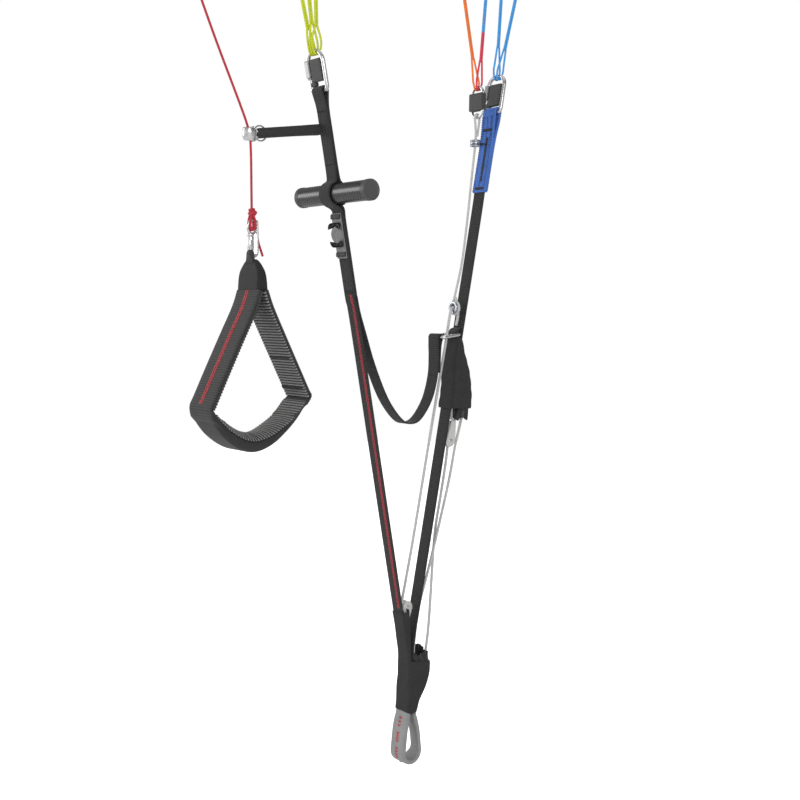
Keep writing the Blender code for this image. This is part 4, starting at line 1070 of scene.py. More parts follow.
# Quick links: body, foot bar (x, z), lean, half width, half height, wire radius, sleeve radius and half
# length, keeper depth, width and height, keeper shift along Y and up
LINKS = {
    "rear_maillon": ("rear_lines", (rear_x(REAR_TOP_Z), REAR_TOP_Z), -0.2, 0.0088, 0.0141, 0.0016,
                     0.0027, 0.006, (0.0036, 0.012, 0.016), (-0.0007, 0.0006)),
    "front_maillon": ("front_lines", (front_x(FRONT_TOP_Z), FRONT_TOP_Z), 0.2, 0.009, 0.0154, 0.0016,
                      0.0027, 0.006, (0.0036, 0.0126, 0.0182), (-0.0007, -0.0008)),
    "outer_maillon": ("outer_lines", (0.0764, 0.5133), 0.02, 0.0062, 0.0122, 0.0013,
                      0.0022, 0.004, (0.0054, 0.015, 0.014), (0.0, 0.0)),
}
# Suspension lines: body, link, top of the upper eye, place along Y, splice height, legs' spread, finish
LINES = {
    "rear_line_inner": ("rear_lines", "rear_maillon", (-0.105, 0.615), 0.0018, 0.019, 0.0026, "green_line"),
    "rear_line_middle": ("rear_lines", "rear_maillon", (-0.096, 0.615), -0.0008, 0.022, 0.0034, "green_line"),
    "rear_line_outer": ("rear_lines", "rear_maillon", (-0.088, 0.615), -0.0034, 0.02, 0.0042, "green_line"),
    "front_line_inner": ("front_lines", "front_maillon", (0.1072, 0.644), 0.0016, 0.028, 0.0036, "blue_line"),
    "front_line_outer": ("front_lines", "front_maillon", (0.127, 0.644), -0.0016, 0.027, 0.0032, "blue_line"),
    "outer_line_left": ("outer_lines", "outer_maillon", (0.056, 0.636), 0.0012, 0.027, 0.0032, "orange_line"),
    "outer_line_right": ("outer_lines", "outer_maillon", (0.087, 0.636), -0.0012, 0.025, 0.003,
                         "crimson_line"),
}
EYE_LENGTH = 0.012


def link_point(name, share):
    """A place on a quick link's middle line: share 0 at its foot bar, 1 at its upper bar."""
    _, (x, z), lean, _, half_z, *_ = LINKS[name]
    return Vector((x, 0, z)) + Vector((lean, 0, 1)).normalized() * (2 * half_z * share)


def line_route(name):
    """A line as one closed run: round the link's bar, up side by side, and round the upper eye."""
    _, link, (x, z), side, rise, spread, _ = LINES[name]
    radius = sizes().line_radius
    shift = ACROSS * side
    foot, head = link_point(link, 1) + shift, Vector((x, 0, z)) + shift
    along = (head - foot).normalized()
    apart = (AHEAD - along * along.x).normalized()
    turn = LINKS[link][5] + radius + 0.0001 + 0.1 * spread
    low, high = foot + along * rise, head - along * EYE_LENGTH
    pair = apart * (radius + 0.00004)
    bowl = [foot + turn * (cos(t) * apart + sin(t) * along) for t in (radians(-15 - 150 * k / 6)
        for k in range(7))]
    right = [high + pair, low + pair, low - along * 0.004 + pair * 1.4]
    left = [low - along * 0.004 - pair * 1.4, low - pair, high - pair]
    right_leg = [foot + along * 0.01 + apart * spread * 0.8, foot + along * 0.005 + apart * spread]
    left_leg = [foot + along * 0.005 - apart * spread, foot + along * 0.01 - apart * spread * 0.8]
    eye = [high + along * 0.0035 - pair * 1.35, head - along * 0.0022 - pair * 1.9,
        head - along * radius - pair * 0.9, head - along * radius + pair * 0.9,
        head - along * 0.0022 + pair * 1.9, high + along * 0.0035 + pair * 1.35]
    return smooth(right + right_leg + bowl + left_leg + left + eye, 5, closed=True), (low, high, apart)


# Operators, one for each piece or group of like pieces


class RISERSET_OT_main_loop(Operator):
    """Padded loop that hangs in the carabiner, with its groups of marking stitches"""

    bl_idname = "riserset.main_loop"
    bl_label = "Main Loop"

    def execute(self, context):
        size = sizes()
        path = loop_path()

        def loop_depth(share):
            return size.loop_thick - 0.0014 * max(0.0, 1 - min(share, 1 - share) / 0.17) ** 0.7

        web = strap("carabiner_loop", path, size.loop_width, loop_depth, "loop", face=-1, step=0.0007,
            flats=14, relief=ridges((-0.0066, 0.0066), 0.0006, 0.00018), edge=0.0014)
        # The front leg is a little twisted towards the back one
        for vertex in web.data.vertices:
            share = clamped((vertex.co.x + 0.006) / 0.012) * clamped((0.04 - vertex.co.z) / 0.022)
            vertex.co.x += share * (0.0026 + 0.32 * vertex.co.y)
        keep(web, "riser", "loop_webbing", "main_loop")
        marks = []
        for k in range(7):
            start = 0.0184 + 0.0123 * k
            run = stretch(path, start, start + 0.0066)
            for side in (1, -1):
                line, outs = beside(run, 0.00075 * side, size.loop_thick / 2 + 0.00004, face=-1)
                marks.append(seam(line, outs, "red_thread", pitch=0.0021, length=0.0024, radius=0.00048,
                    lean=0.55 * side))
        keep(merged("loop_marks", marks), "riser", "brake_line")
        return {"FINISHED"}


class RISERSET_OT_risers(Operator):
    """Rear and front riser webbing, with the red marking seam and the rows that close the folds"""

    bl_idname = "riserset.risers"
    bl_label = "Risers"

    def execute(self, context):
        size = sizes()
        thick, width = size.web_thick, size.web_width
        lower, upper = rear_lower_path(), rear_upper_path()
        sewn = (-0.0045, -0.0018, 0.0018, 0.0045)

        def single(name, path, node):
            keep(strap(name, path, width, thick, "webbing", step=size.web_rib / 4, flats=4,
                relief=ribs(size.web_rib, 0.00013)), "riser", "webbing", node)

        single("rear_riser_web", lower, "rear_riser")
        keep(strap("rear_riser_folded", upper, width, thick, "upper_webbing", step=0.0007, flats=26,
            relief=ridges(sewn, 0.00035, 0.00022)), "riser", "webbing")
        single("front_riser_web", front_path(), "front_riser")

        marked = [point for point in lower if point.z > 0.1195]
        columns = [seam(*beside(marked, offset, thick / 2 + 0.00003), "red_thread", pitch=0.0011,
            length=0.002, radius=0.0003, slant=0.75) for offset in (-0.0029, -0.0015)]
        keep(merged("riser_red_seam", columns), "riser", "brake_line")

        rows = []
        for first in (True, False):
            half = [p for p in upper if (p.x < rear_x(p.z)) == first]
            for low, high in ((TAIL_END_Z + 0.002, 0.427), (0.463, 0.504)):
                run = [p for p in half if low < p.z < high]
                rows += [seam(*beside(run, offset, thick / 2 - 0.00012), radius=0.00013) for offset in sewn]
        for z in (TAIL_END_Z + 0.0016, TAIL_END_Z + 0.0032, 0.4262, 0.4636, 0.501):
            for side in (-1, 1):
                middle = Vector((rear_x(z) + side * (LAYER + thick / 2 + 0.00002), 0, z))
                rows.append(seam(bar_at(middle), AHEAD * side, pitch=0.0006, length=0.0016, radius=0.00017,
                    slant=1.35))
        keep(merged("riser_rows", rows), "riser", "webbing")
        return {"FINISHED"}


class RISERSET_OT_sleeve(Operator):
    """Coloured sleeve over the front riser's fold, with its sunk seams, tack bars and long dark seam"""

    bl_idname = "riserset.sleeve"
    bl_label = "Front Sleeve"

    def execute(self, context):
        rows = (-0.0042, 0.0, 0.0042)
        table = ((0.4535, 0.00255, 0.00255, 0.0068), (0.472, 0.00245, 0.00245, 0.0068),
            (0.49, 0.0025, 0.00255, 0.0068), (0.501, 0.00265, 0.003, 0.0069))

        def quilt(side, across, z):
            sunk = sum(exp(-((across - row) / 0.0005) ** 2) for row in rows) if abs(side) > 0.6 else 0.0
            return -0.00035 * sunk + ripple((0.00008, 90.0, 0.2, z + across * 0.6))

        def dip(side, across, top):
            return (-0.005 if top else 0.0) * (1 - min(1.0, abs(side))) + (0.0 if top else -0.0002)

        web = fabric_tube("front_sleeve_web", table, front_x, 0.001, 0.0008, "sleeve", quilt, step=0.0006,
            rim=dip)
        top = strap("front_fold", front_fold_path(), 0.0136, 0.0023, "sleeve", step=0.0006, flats=20,
            relief=ridges(rows, 0.0005, 0.00035), edge=0.0006)
        keep(merged("front_sleeve_webbing", [web, top]), "riser", "blue_webbing", "front_sleeve")

        def on_sleeve(z, y, side):
            _, half, _ = between(table, min(z, 0.5005))
            spread = 0.00115 * max(0.0, (z - 0.5005) / 0.0105) if side < 0 else 0.0
            return Vector((front_x(z) + side * (half + 0.0001 + spread), y, z))

        seams, tacks = [], []
        for side in (-1, 1):
            out = AHEAD * side
            height = 0.06 if side < 0 else 0.045
            for y in (-0.006, -0.0042, 0.0, 0.0042, 0.006):
                lift = out * (-0.0002 if y in rows else 0.0)
                run = [on_sleeve(0.455 + height * k / 90, y, side) + lift for k in range(91)]
                seams.append(seam(run, out, "navy_thread", radius=0.0003))
            # Tack bars: height and front end, the upper one on the back only
            for z, reach in ((0.504, 0.0034), (0.4561, 0.0036))[0 if side < 0 else 1:]:
                for row in range(2):
                    run = [on_sleeve(z + 0.0009 * row, -0.0056 + (reach + 0.0056) * k / 12, side)
                        for k in range(13)]
                    tacks.append(seam(run, out, pitch=0.00042, length=0.0013, radius=0.00028, slant=1.45))
            for row in range(2):
                run = [on_sleeve(0.4625 + 0.0355 * k / 60, -0.001 - 0.0009 * row, side) for k in range(61)]
                tacks.append(seam(run, out, pitch=0.00045, length=0.0014, radius=0.0003, slant=1.2))
        keep(merged("sleeve_rows", seams), "riser", "blue_webbing")
        keep(merged("sleeve_tacks", tacks), "riser", "webbing")
        return {"FINISHED"}


class RISERSET_OT_covers(Operator):
    """The two padded covers with their pockets, creases and crumpled linings"""

    bl_idname = "riserset.covers"
    bl_label = "Covers"

    def execute(self, context):
        lower_table = ((0.0365, 0.005, 0.0052, 0.0094), (0.045, 0.0042, 0.008, 0.0094),
            (0.056, 0.003, 0.015, 0.0093), (0.066, 0.0026, 0.019, 0.0091), (0.076, 0.0026, 0.02, 0.0088))

        def lower_folds(side, across, z):
            rise = (z - 0.0365) / 0.04
            crease = -0.0007 * exp(-((side + 0.1 - 0.35 * rise) / 0.16) ** 2) * sin(pi * min(1, rise))
            return crease + ripple((0.00022, 38.0, 0.1, z), (0.00016, 95.0, 0.4, across + z * 0.4))

        def lower_rim(side, across, top):
            if top:
                return 0.0024 - 0.0036 * (side + 1) / 2 + ripple((0.0003, 120.0, 0.0, across))
            return -0.0016 * cos(side * 1.4) + 0.0008

        shell = fabric_tube("lower_cover_shell", lower_table, lambda z: 0.0, 0.0026, 0.001, "neoprene",
            lower_folds, rim=lower_rim)
        arm_table = ((0.06, 0.003, 0.0012, 0.0078), (0.078, 0.003, 0.0006, 0.0074),
            (0.088, 0.0038, 0.0002, 0.0071), (0.104, 0.0066, -0.0006, 0.0069),
            (0.1195, 0.0093, -0.0014, 0.0069))

        def arm_folds(side, across, z):
            return -0.0003 * exp(-((side - 0.1) / 0.22) ** 2) + ripple((0.00012, 42.0, 0.3, z))

        def arm_rim(side, across, top):
            return (-0.0009 * (1 - side * side) + 0.001 * side) if top else 0.0

        arm = fabric_tube("lower_cover_arm", arm_table, lambda z: 0.0, 0.0016, 0.0007, "neoprene", arm_folds,
            rim=arm_rim)
        keep(merged("lower_cover_fabric", [shell, arm]), "riser", "neoprene", "lower_cover")

        # The lining that crumples out of the pocket's mouth
        def lower_crumple(point, turn, share):
            around = turn / (2 * pi)
            fold = ripple((0.0007, 9, 0.1, around + share * 0.7 / (2 * pi)), (0.0005, 17, 0.3, around))
            lift = ripple((0.0008, 4, 0.0, around), (0.0004, 11, 0.4, around)) + 0.0006 + 0.26 * point.y
            return (fold - 0.0008) * share + 0.0008 * sin(pi * share), lift * share

        rings = [box_ring(0.003 + 0.0014 * k / 14, 0.0188 + 0.0004 * k / 14, 0.0076, 0.0665 + 0.0172 * k / 14,
            0.003, 6, 7) for k in range(15)]
        keep(crumpled("lower_cover_lining", rings, lambda z: 0.0112, lower_crumple, 0.0004, 0.0009), "riser",
            "neoprene")
        tab = in_xz(((0.005, 0.04), (0.0058, 0.035), (0.0076, 0.0318), (0.0098, 0.029)))
        keep(strap("lower_cover_tab", tab, 0.0044, 0.001, "webbing", step=0.0005), "riser", "webbing")

        # Rows: height, reach back from the riser, front x, half width
        upper_rows = ((0.2782, 0.002, 0.064, 0.0088), (0.288, 0.0026, 0.0652, 0.0088),
            (0.299, 0.0034, 0.064, 0.0088), (0.311, 0.0046, 0.0612, 0.0086), (0.323, 0.0052, 0.0578, 0.0083),
            (0.3325, 0.005, 0.0556, 0.0079))
        upper_table = tuple((z, back, x - front_x(z), half) for z, back, x, half in upper_rows)

        def upper_folds(side, across, z):
            rise = (z - 0.279) / 0.053
            crease = -0.0009 * exp(-((side + 0.35) / 0.2) ** 2) * (0.3 + 0.7 * sin(pi * rise))
            return crease + ripple((0.00025, 30.0, 0.0, z), (0.00015, 100.0, 0.2, across + z))

        def upper_rim(side, across, top):
            return 0.0022 - 0.002 * side if top else -0.0004 - 0.0006 * sin(2.4 * side + 0.4)

        shell = fabric_tube("upper_cover_fabric", upper_table, front_x, 0.0026, 0.0011, "neoprene",
            upper_folds, rim=upper_rim)
        keep(shell, "riser", "neoprene", "upper_cover")

        # The flap of lining that hangs from its mouth in front
        def upper_crumple(point, turn, share):
            around = turn / (2 * pi)
            fold = ripple((0.0008, 7, 0.2, around), (0.0004, 13, 0.0, around))
            return fold * share, ripple((0.001, 4, 0.3, around), (0.0006, 9, 0.0, around)) * share

        rings = []
        for k in range(10):
            z, shrink = 0.2835 - 0.0145 * k / 9, 0.0012 * (k / 9) ** 2
            rings.append(box_ring(front_x(z) + 0.0082 + shrink * 0.3, 0.063 - shrink * 1.4,
                0.0064 - shrink * 0.5, z, 0.0022, 5, 6))
        keep(crumpled("upper_cover_lining", rings, lambda z: (front_x(z) + 0.0712) / 2, upper_crumple, 0.0005,
            0.0011), "riser", "neoprene")
        return {"FINISHED"}


class RISERSET_OT_link(Operator):
    """The slack strap between the risers, its oval ring, and the tab that holds the ring"""

    bl_idname = "riserset.link"
    bl_label = "Link Strap and Ring"

    def execute(self, context):
        size = sizes()
        path = link_strap_path()
        web = strap("link_strap_web", path, size.web_width, 0.0014, "webbing", step=size.web_rib / 4, flats=4,
            relief=ribs(size.web_rib, 0.00012))
        keep(web, "riser", "webbing", "link_strap")
        rows = []
        for z in (0.33, 0.305):
            k = min((i for i, p in enumerate(path) if 0.02 < p.x < 0.031), key=lambda i: abs(path[i].z - z))
            out = outward(path, k)
            for row in range(2):
                middle = path[k] + out * 0.00073 + UP * 0.0007 * row
                rows.append(seam(bar_at(middle), out, pitch=0.0011, radius=0.00016))
        root = path[0] + AHEAD * 0.00074 - UP * 0.0012
        rows.append(seam(bar_at(root), AHEAD, pitch=0.0007, length=0.0016, slant=1.3))
        keep(merged("link_rows", rows), "riser", "webbing")

        half_y, corner = 0.009, 0.0028
        ring = []
        for sx, sy, start in ((1, 1, 0), (-1, 1, 90), (-1, -1, 180), (1, -1, 270)):
            cx = (0.05 - corner) if sx > 0 else (0.0316 + corner)
            for k in range(9):
                turn = radians(start + 90 * k / 8)
                x = cx + corner * cos(turn)
                ring.append(Vector((x, sy * (half_y - corner) + corner * sin(turn),
                    0.3358 + 0.114 * (x - 0.0316))))
        keep(wire("oval_ring", ring, 0.00135, sides=16), "riser", "steel", "link_ring")
        bar = (0.05, 0.3358 + 0.114 * 0.0184)
        tab = [(0.054, 0.3426), (0.052, 0.3416)] + arc(bar, 0.0022, 75, 285, 10) + [(0.0524, 0.3354),
            (0.053, 0.3344)]
        keep(strap("ring_tab_web", smooth(in_xz(tab), 3), 0.0105, 0.001, "webbing", step=0.0004), "riser",
            "webbing", "ring_tab")
        return {"FINISHED"}


class RISERSET_OT_pulleys(Operator):
    """The four pulleys: two cheeks with a pin and a bridge, and the wheel between them"""

    bl_idname = "riserset.pulleys"
    bl_label = "Pulleys"

    def execute(self, context):
        half = WHEEL_THICK / 2
        inner = half + 0.0004
        for name, (x, z, wheel, cheek, reach, side, lean) in PULLEYS.items():
            centre = Vector((x, 0, z))
            groove = wheel - WHEEL_GROOVE
            profile = mirrored(((PIN_RADIUS + GAP, -half), (wheel, -half), (wheel, -half + 0.0003),
                (groove, -0.0008)))
            turned = lathe(name + "_sheave", centre, ACROSS, rounded_profile(profile, 0.00035), "pulley", 36)
            keep(turned, name + "_wheel", "grey_plastic", name + "_wheel")

            small = cheek * 0.5
            far = side * (reach - small)
            if side > 0:
                stretches = ((cheek, 0, 170, 370), (small, far, 10, 170))
            else:
                stretches = ((cheek, 0, -10, 190), (small, far, 190, 350))
            outline = []
            for size, up, first, last in stretches:
                outline += [(x + px + lean * pz, z + pz) for px, pz in arc((0, up), size, first, last, 18)]
            rise = side * (reach - 0.0014)
            far_end = Vector((x + lean * rise, 0, z + rise))
            head = ((0.0, 0.00045), (0.0011, 0.0004), (0.0016, 0.0001), (0.0016, -0.0001), (0.0, -0.0001))
            dimple = ((0.0, 0.00012), (0.00045, 0.00012), (0.00055, -0.0001), (0.0, -0.0001))
            parts = []
            for y in (-1, 1):
                parts.append(plate("cheek", [Vector((px, y * inner, pz)) for px, pz in outline],
                    ACROSS * y * CHEEK_THICK, "pulley", 0.00025))
                face = ACROSS * y * (inner + CHEEK_THICK)
                parts.append(lathe("head", centre + face, ACROSS * y, head, "steel", 24, closed=False))
                parts.append(lathe("hole", far_end + face, ACROSS * y, dimple, "keeper", 16, closed=False))
            for place, radius in ((centre, PIN_RADIUS), (far_end, 0.001)):
                rod = mirrored(((0.0, -inner - 0.0005), (radius, -inner - 0.0005)))
                parts.append(lathe("rod", place, ACROSS, rod, "steel", 20, closed=False))
            keep(merged(name + "_case", parts), "riser", "grey_plastic", name + "_block")
        return {"FINISHED"}


class RISERSET_OT_quick_links(Operator):
    """The three quick links: bent wire, threaded sleeve and rubber keeper"""

    bl_idname = "riserset.quick_links"
    bl_label = "Quick Links"

    def execute(self, context):
        for name, (body, _, lean, half_y, half_z, thick, outer, half_nut, rubber,
                (shift, rise)) in LINKS.items():
            centre = link_point(name, 0.5)
            up = Vector((lean, 0, 1)).normalized()
            out = ACROSS.cross(up).normalized()
            is_small = name == "outer_maillon"
            path = []
            for sy, sz, start in ((1, 1, 0), (-1, 1, 90), (-1, -1, 180), (1, -1, 270)):
                corner = half_y * (0.94 if sz > 0 else 0.95 if is_small else 0.36)
                for k in range(13):
                    turn = radians(start + 90 * k / 12)
                    path.append(centre + ACROSS * (sy * (half_y - corner) + corner * cos(turn)) + up
                        * (sz * (half_z - corner) + corner * sin(turn)))
            keep(wire(name + "_wire", path, thick, sides=20), body, "steel", name)

            hole = thick + 0.0001
            place = centre + ACROSS * half_y + out * (0 if is_small else -0.0006)
            place += up * (-0.001 if is_small else 0.0022)
            profile = mirrored(((hole, -half_nut), (outer - 0.0005, -half_nut), (outer, -half_nut + 0.0006)))
            nut = lathe("nut", place, up, profile, "steel", 6, sharp=20)
            threads = [(thick * 0.5, -half_nut - 0.0012)]
            for k in range(6):
                threads += [(hole - 0.00005, -half_nut - 0.0012 + k * 0.0002),
                    (hole + 0.00012, -half_nut - 0.0011 + k * 0.0002)]
            threads.append((thick * 0.5, -half_nut))
            screw = lathe("thread", place, up, threads, "steel", 24)
            keep(merged(name + "_sleeve", [nut, screw]), body, "steel", name + "_nut")

            held = [block("rubber", centre + ACROSS * shift + up * rise, out, up, rubber, 0.0007, "keeper")]
            if not is_small:
                low = centre - up * (half_nut + 0.0028)
                size = (rubber[0] * 0.94, 0.006, 0.003)
                held.append(block("lobe", low + ACROSS * 0.0052, out, up, size, 0.0008, "keeper"))
            keep(merged(name + "_grip", held), body, "black_rubber", name + "_keeper")
        return {"FINISHED"}


class RISERSET_OT_lines(Operator):
    """The coloured line ends: each is doubled round its quick link and sewn side by side"""

    bl_idname = "riserset.lines"
    bl_label = "Line Ends"

    def execute(self, context):
        radius = sizes().line_radius
        for name, (body, *_, finish) in LINES.items():
            route, (low, high, apart) = line_route(name)
            keep(cord(name + "_cord", route, radius, finish, closed=True, step=0.0009), body, finish, name)
            rows = []
            face = apart.cross((high - low).normalized())
            for side in (-1, 1):
                run = [low.lerp(high, k / 100) + face * side * radius * 0.6 for k in range(101)]
                rows.append(seam(run, face * side, finish.replace("line", "thread"), pitch=0.00125,
                    length=0.0013, radius=0.00015, slant=0.8))
            keep(merged(name + "_sewing", rows), body, finish)
        return {"FINISHED"}


class RISERSET_OT_speed_cords(Operator):
    """The pale cords of the speed system, each along its real route"""

    bl_idname = "riserset.speed_cords"
    bl_label = "Speed Cords"

    def execute(self, context):
        radius = sizes().speed_radius
        thin = radius * 0.85
        bar_x, bar_z = LINKS["outer_maillon"][1]
        over = LINKS["outer_maillon"][5] + thin + GAP
        path = [(0.0762, -0.0006, 0.499), (bar_x + 0.0012, 0, 0.504), (bar_x + 0.0022, 0, 0.509)]
        path += in_xz(arc((bar_x, bar_z), over, 0, 180, 6))
        path += [(bar_x - 0.0022, 0, 0.509), (0.0748, 0, 0.503), GUIDE_RING, (0.07, 0, 0.461)]
        path += [(0.0658, 0, 0.4304), (0.06, 0, 0.396), (SPEED_RING.x + 0.0012, 0, 0.372)]
        round_ring = 0.0048 - 0.001 + thin + GAP * 2
        for degrees in (75, 30, -10, -50, -90, -130, -170, 150, 120):
            turn = radians(degrees)
            path.append((SPEED_RING.x, round_ring * cos(turn), SPEED_RING.z + round_ring * sin(turn)))
        path.append((SPEED_RING.x + 0.0006, -0.0006, SPEED_RING.z + 0.008))
        keep(cord("upper_cord", smooth(path, 4), thin, "speed_cord"), "riser", "speed_cord",
            "upper_speed_cord")

        def round_wheel(name, start, end, steps):
            x, z, wheel, *_ = PULLEYS[name]
            return in_xz(arc((x, z), wheel - WHEEL_GROOVE + radius + GAP, start, end, steps))

        path = round_wheel("guide", 280, 175, 6)
        path += [
            (0.003, 0, 0.156), (0.01, 0, 0.186), (0.023, 0, 0.2455), (0.0381, 0, 0.3125),
            (0.0427, 0, 0.333), (0.0455, 0, 0.347), (0.0476, 0, 0.356), (0.0492, 0, 0.3592), SPEED_RING,
            (0.0546, 0, 0.3588), (0.0558, 0, 0.356), (0.0556, 0, 0.351), (0.0538, 0, 0.3456),
        ]
        keep(cord("main_cord", smooth(path, 5), radius, "speed_cord"), "riser", "speed_cord",
            "main_speed_cord")

        path = [(0.0488, 0, 0.2693)] + round_wheel("upper", 180, 0, 8)
        path += [
            (0.0622, 0, 0.28), (0.0599, 0, 0.2676), (0.053, 0, 0.2454), (0.0452, -0.0014, 0.2187),
            (0.0302, -0.003, 0.1752), (0.0212, -0.0014, 0.1436), (0.0152, 0.002, 0.1165),
            (0.0098, 0.0016, 0.086),
        ]
        path += round_wheel("lower", 180, 360, 8)
        path += [
            (0.0186, -0.0016, 0.076), (0.0224, -0.0026, 0.1058), (0.0331, 0.003, 0.1715),
            (0.0397, 0.003, 0.2045), (0.0434, 0.001, 0.231), (0.0449, 0, 0.2469),
        ]
        keep(cord("long_cord", smooth(path, 4), radius, "speed_cord"), "riser", "speed_cord",
            "long_speed_cord")
        return {"FINISHED"}


class RISERSET_OT_rings(Operator):
    """The polished low-friction rings, and the tab round the guide ring"""

    bl_idname = "riserset.rings"
    bl_label = "Low-Friction Rings"

    def execute(self, context):
        # name, node, centre, axis, outer radius, half length, bore
        rings = (
            ("speed_ring_metal", "speed_ring", SPEED_RING, (1, 0, 0), 0.0052, 0.0025, 0.0021),
            ("guide_ring_metal", "guide_ring", GUIDE_RING, (0, 0, 1), 0.0045, 0.0027, 0.0018),
            ("brake_ring_metal", "brake_guide_ring", BRAKE_RING, (-0.15, -0.2, 0.96), 0.0049, 0.0044, 0.0018),
        )
        for name, node, centre, axis, outer, half, bore in rings:
            mouth, groove = bore + 0.001, outer - 0.0005
            if "brake" in name:
                profile = ((bore, -half * 0.5), (mouth, -half), (outer - 0.001, -half), (outer, -half * 0.35))
            else:
                profile = ((bore, -half * 0.35), (mouth, -half), (outer - 0.0005, -half),
                    (outer, -half + 0.0006), (groove, -0.0003))
            metal = "steel" if "brake" in name else "ring"
            keep(lathe(name, centre, axis, rounded_profile(mirrored(profile), 0.0005, 4), metal, 64), "riser",
                "aluminium", node)
        end_x = front_x(GUIDE_RING.z) - 0.0032
        bend = arc((GUIDE_RING.x, 0), 0.0033, 50, 310, 16)
        path = [Vector((x, y, GUIDE_RING.z)) for x, y in [(end_x, 0.0022)] + bend + [(end_x, -0.0022)]]
        keep(strap("guide_ring_strap", smooth(path, 2), 0.0012, 0.0006, "webbing", across=UP, step=0.0005),
            "riser", "webbing", "guide_ring_tab")
        return {"FINISHED"}


class RISERSET_OT_brake_mount(Operator):
    """The strap from the rear riser, its round ring, and the wire clamp on the brake guide ring"""

    bl_idname = "riserset.brake_mount"
    bl_label = "Brake Guide Strap"

    def execute(self, context):
        slope, root_x, root_z = 0.155, -0.0797, 0.4885
        end_x, layer = -0.1356, 0.00135
        path = [(root_x, layer), (end_x + layer + 0.001, layer)]
        path += arc((end_x + layer, 0), layer, 90, 270, 10)
        path += [(end_x + layer + 0.001, -layer), (root_x, -layer)]
        line = [Vector((x, y, root_z + slope * (x - root_x))) for x, y in path]
        grooves = ridges((-0.002, 0.0, 0.002), 0.0003, 0.00014)
        web = strap("brake_strap_web", line, lambda share: 0.007 + 0.001 * abs(2 * share - 1) ** 3, 0.0012,
            "upper_webbing", across=UP, step=0.0006, flats=16, relief=grooves)
        rows = []
        length = end_x + 0.004 - root_x
        for side in (-1, 1):
            for up in (-0.0024, 0.0024):
                run = [Vector((root_x - 0.001 + length * k / 60, side * (layer + 0.0006),
                    root_z + slope * length * k / 60 + up)) for k in range(61)]
                rows.append(seam(run, ACROSS * side, radius=0.00013))
        stitches = merged("brake_strap_rows", rows)
        # It comes out from between the riser's layers at their back edge
        for piece in (web, stitches):
            for vertex in piece.data.vertices:
                vertex.co.y += 0.0044 * clamped((vertex.co.x - end_x) / (root_x - end_x)) ** 2
        keep(web, "riser", "webbing", "brake_strap")
        keep(stitches, "riser", "webbing")

        centre = Vector((-0.1336, 0, 0.4801))
        turns = circle(centre, 0.0052, AHEAD, UP, 48)
        keep(wire("brake_round_ring", turns, 0.0006), "riser", "steel", "brake_link_ring")
        # Two turns of wire through the ring and over its back wall, drawn together at the round ring
        clamps = []
        turn = ((0.0082, 0.0), (0.0068, 0.0018), (0.0046, 0.0038), (0.0028, 0.0047), (0.0013, 0.0036),
            (0.001, 0.0), (0.0013, -0.0036), (0.0028, -0.0047), (0.0046, -0.0038), (0.0068, -0.0018))
        for side in (-0.0014, 0.0014):
            route = [BRAKE_RING + Vector((dx, side * (1 - dx / 0.01), dz)) for dx, dz in turn]
            clamps.append(wire("clamp", smooth(route, 4, closed=True), 0.0006, sides=10))
        keep(merged("brake_wire_clamp", clamps), "riser", "steel", "brake_ring_clamp")
        return {"FINISHED"}


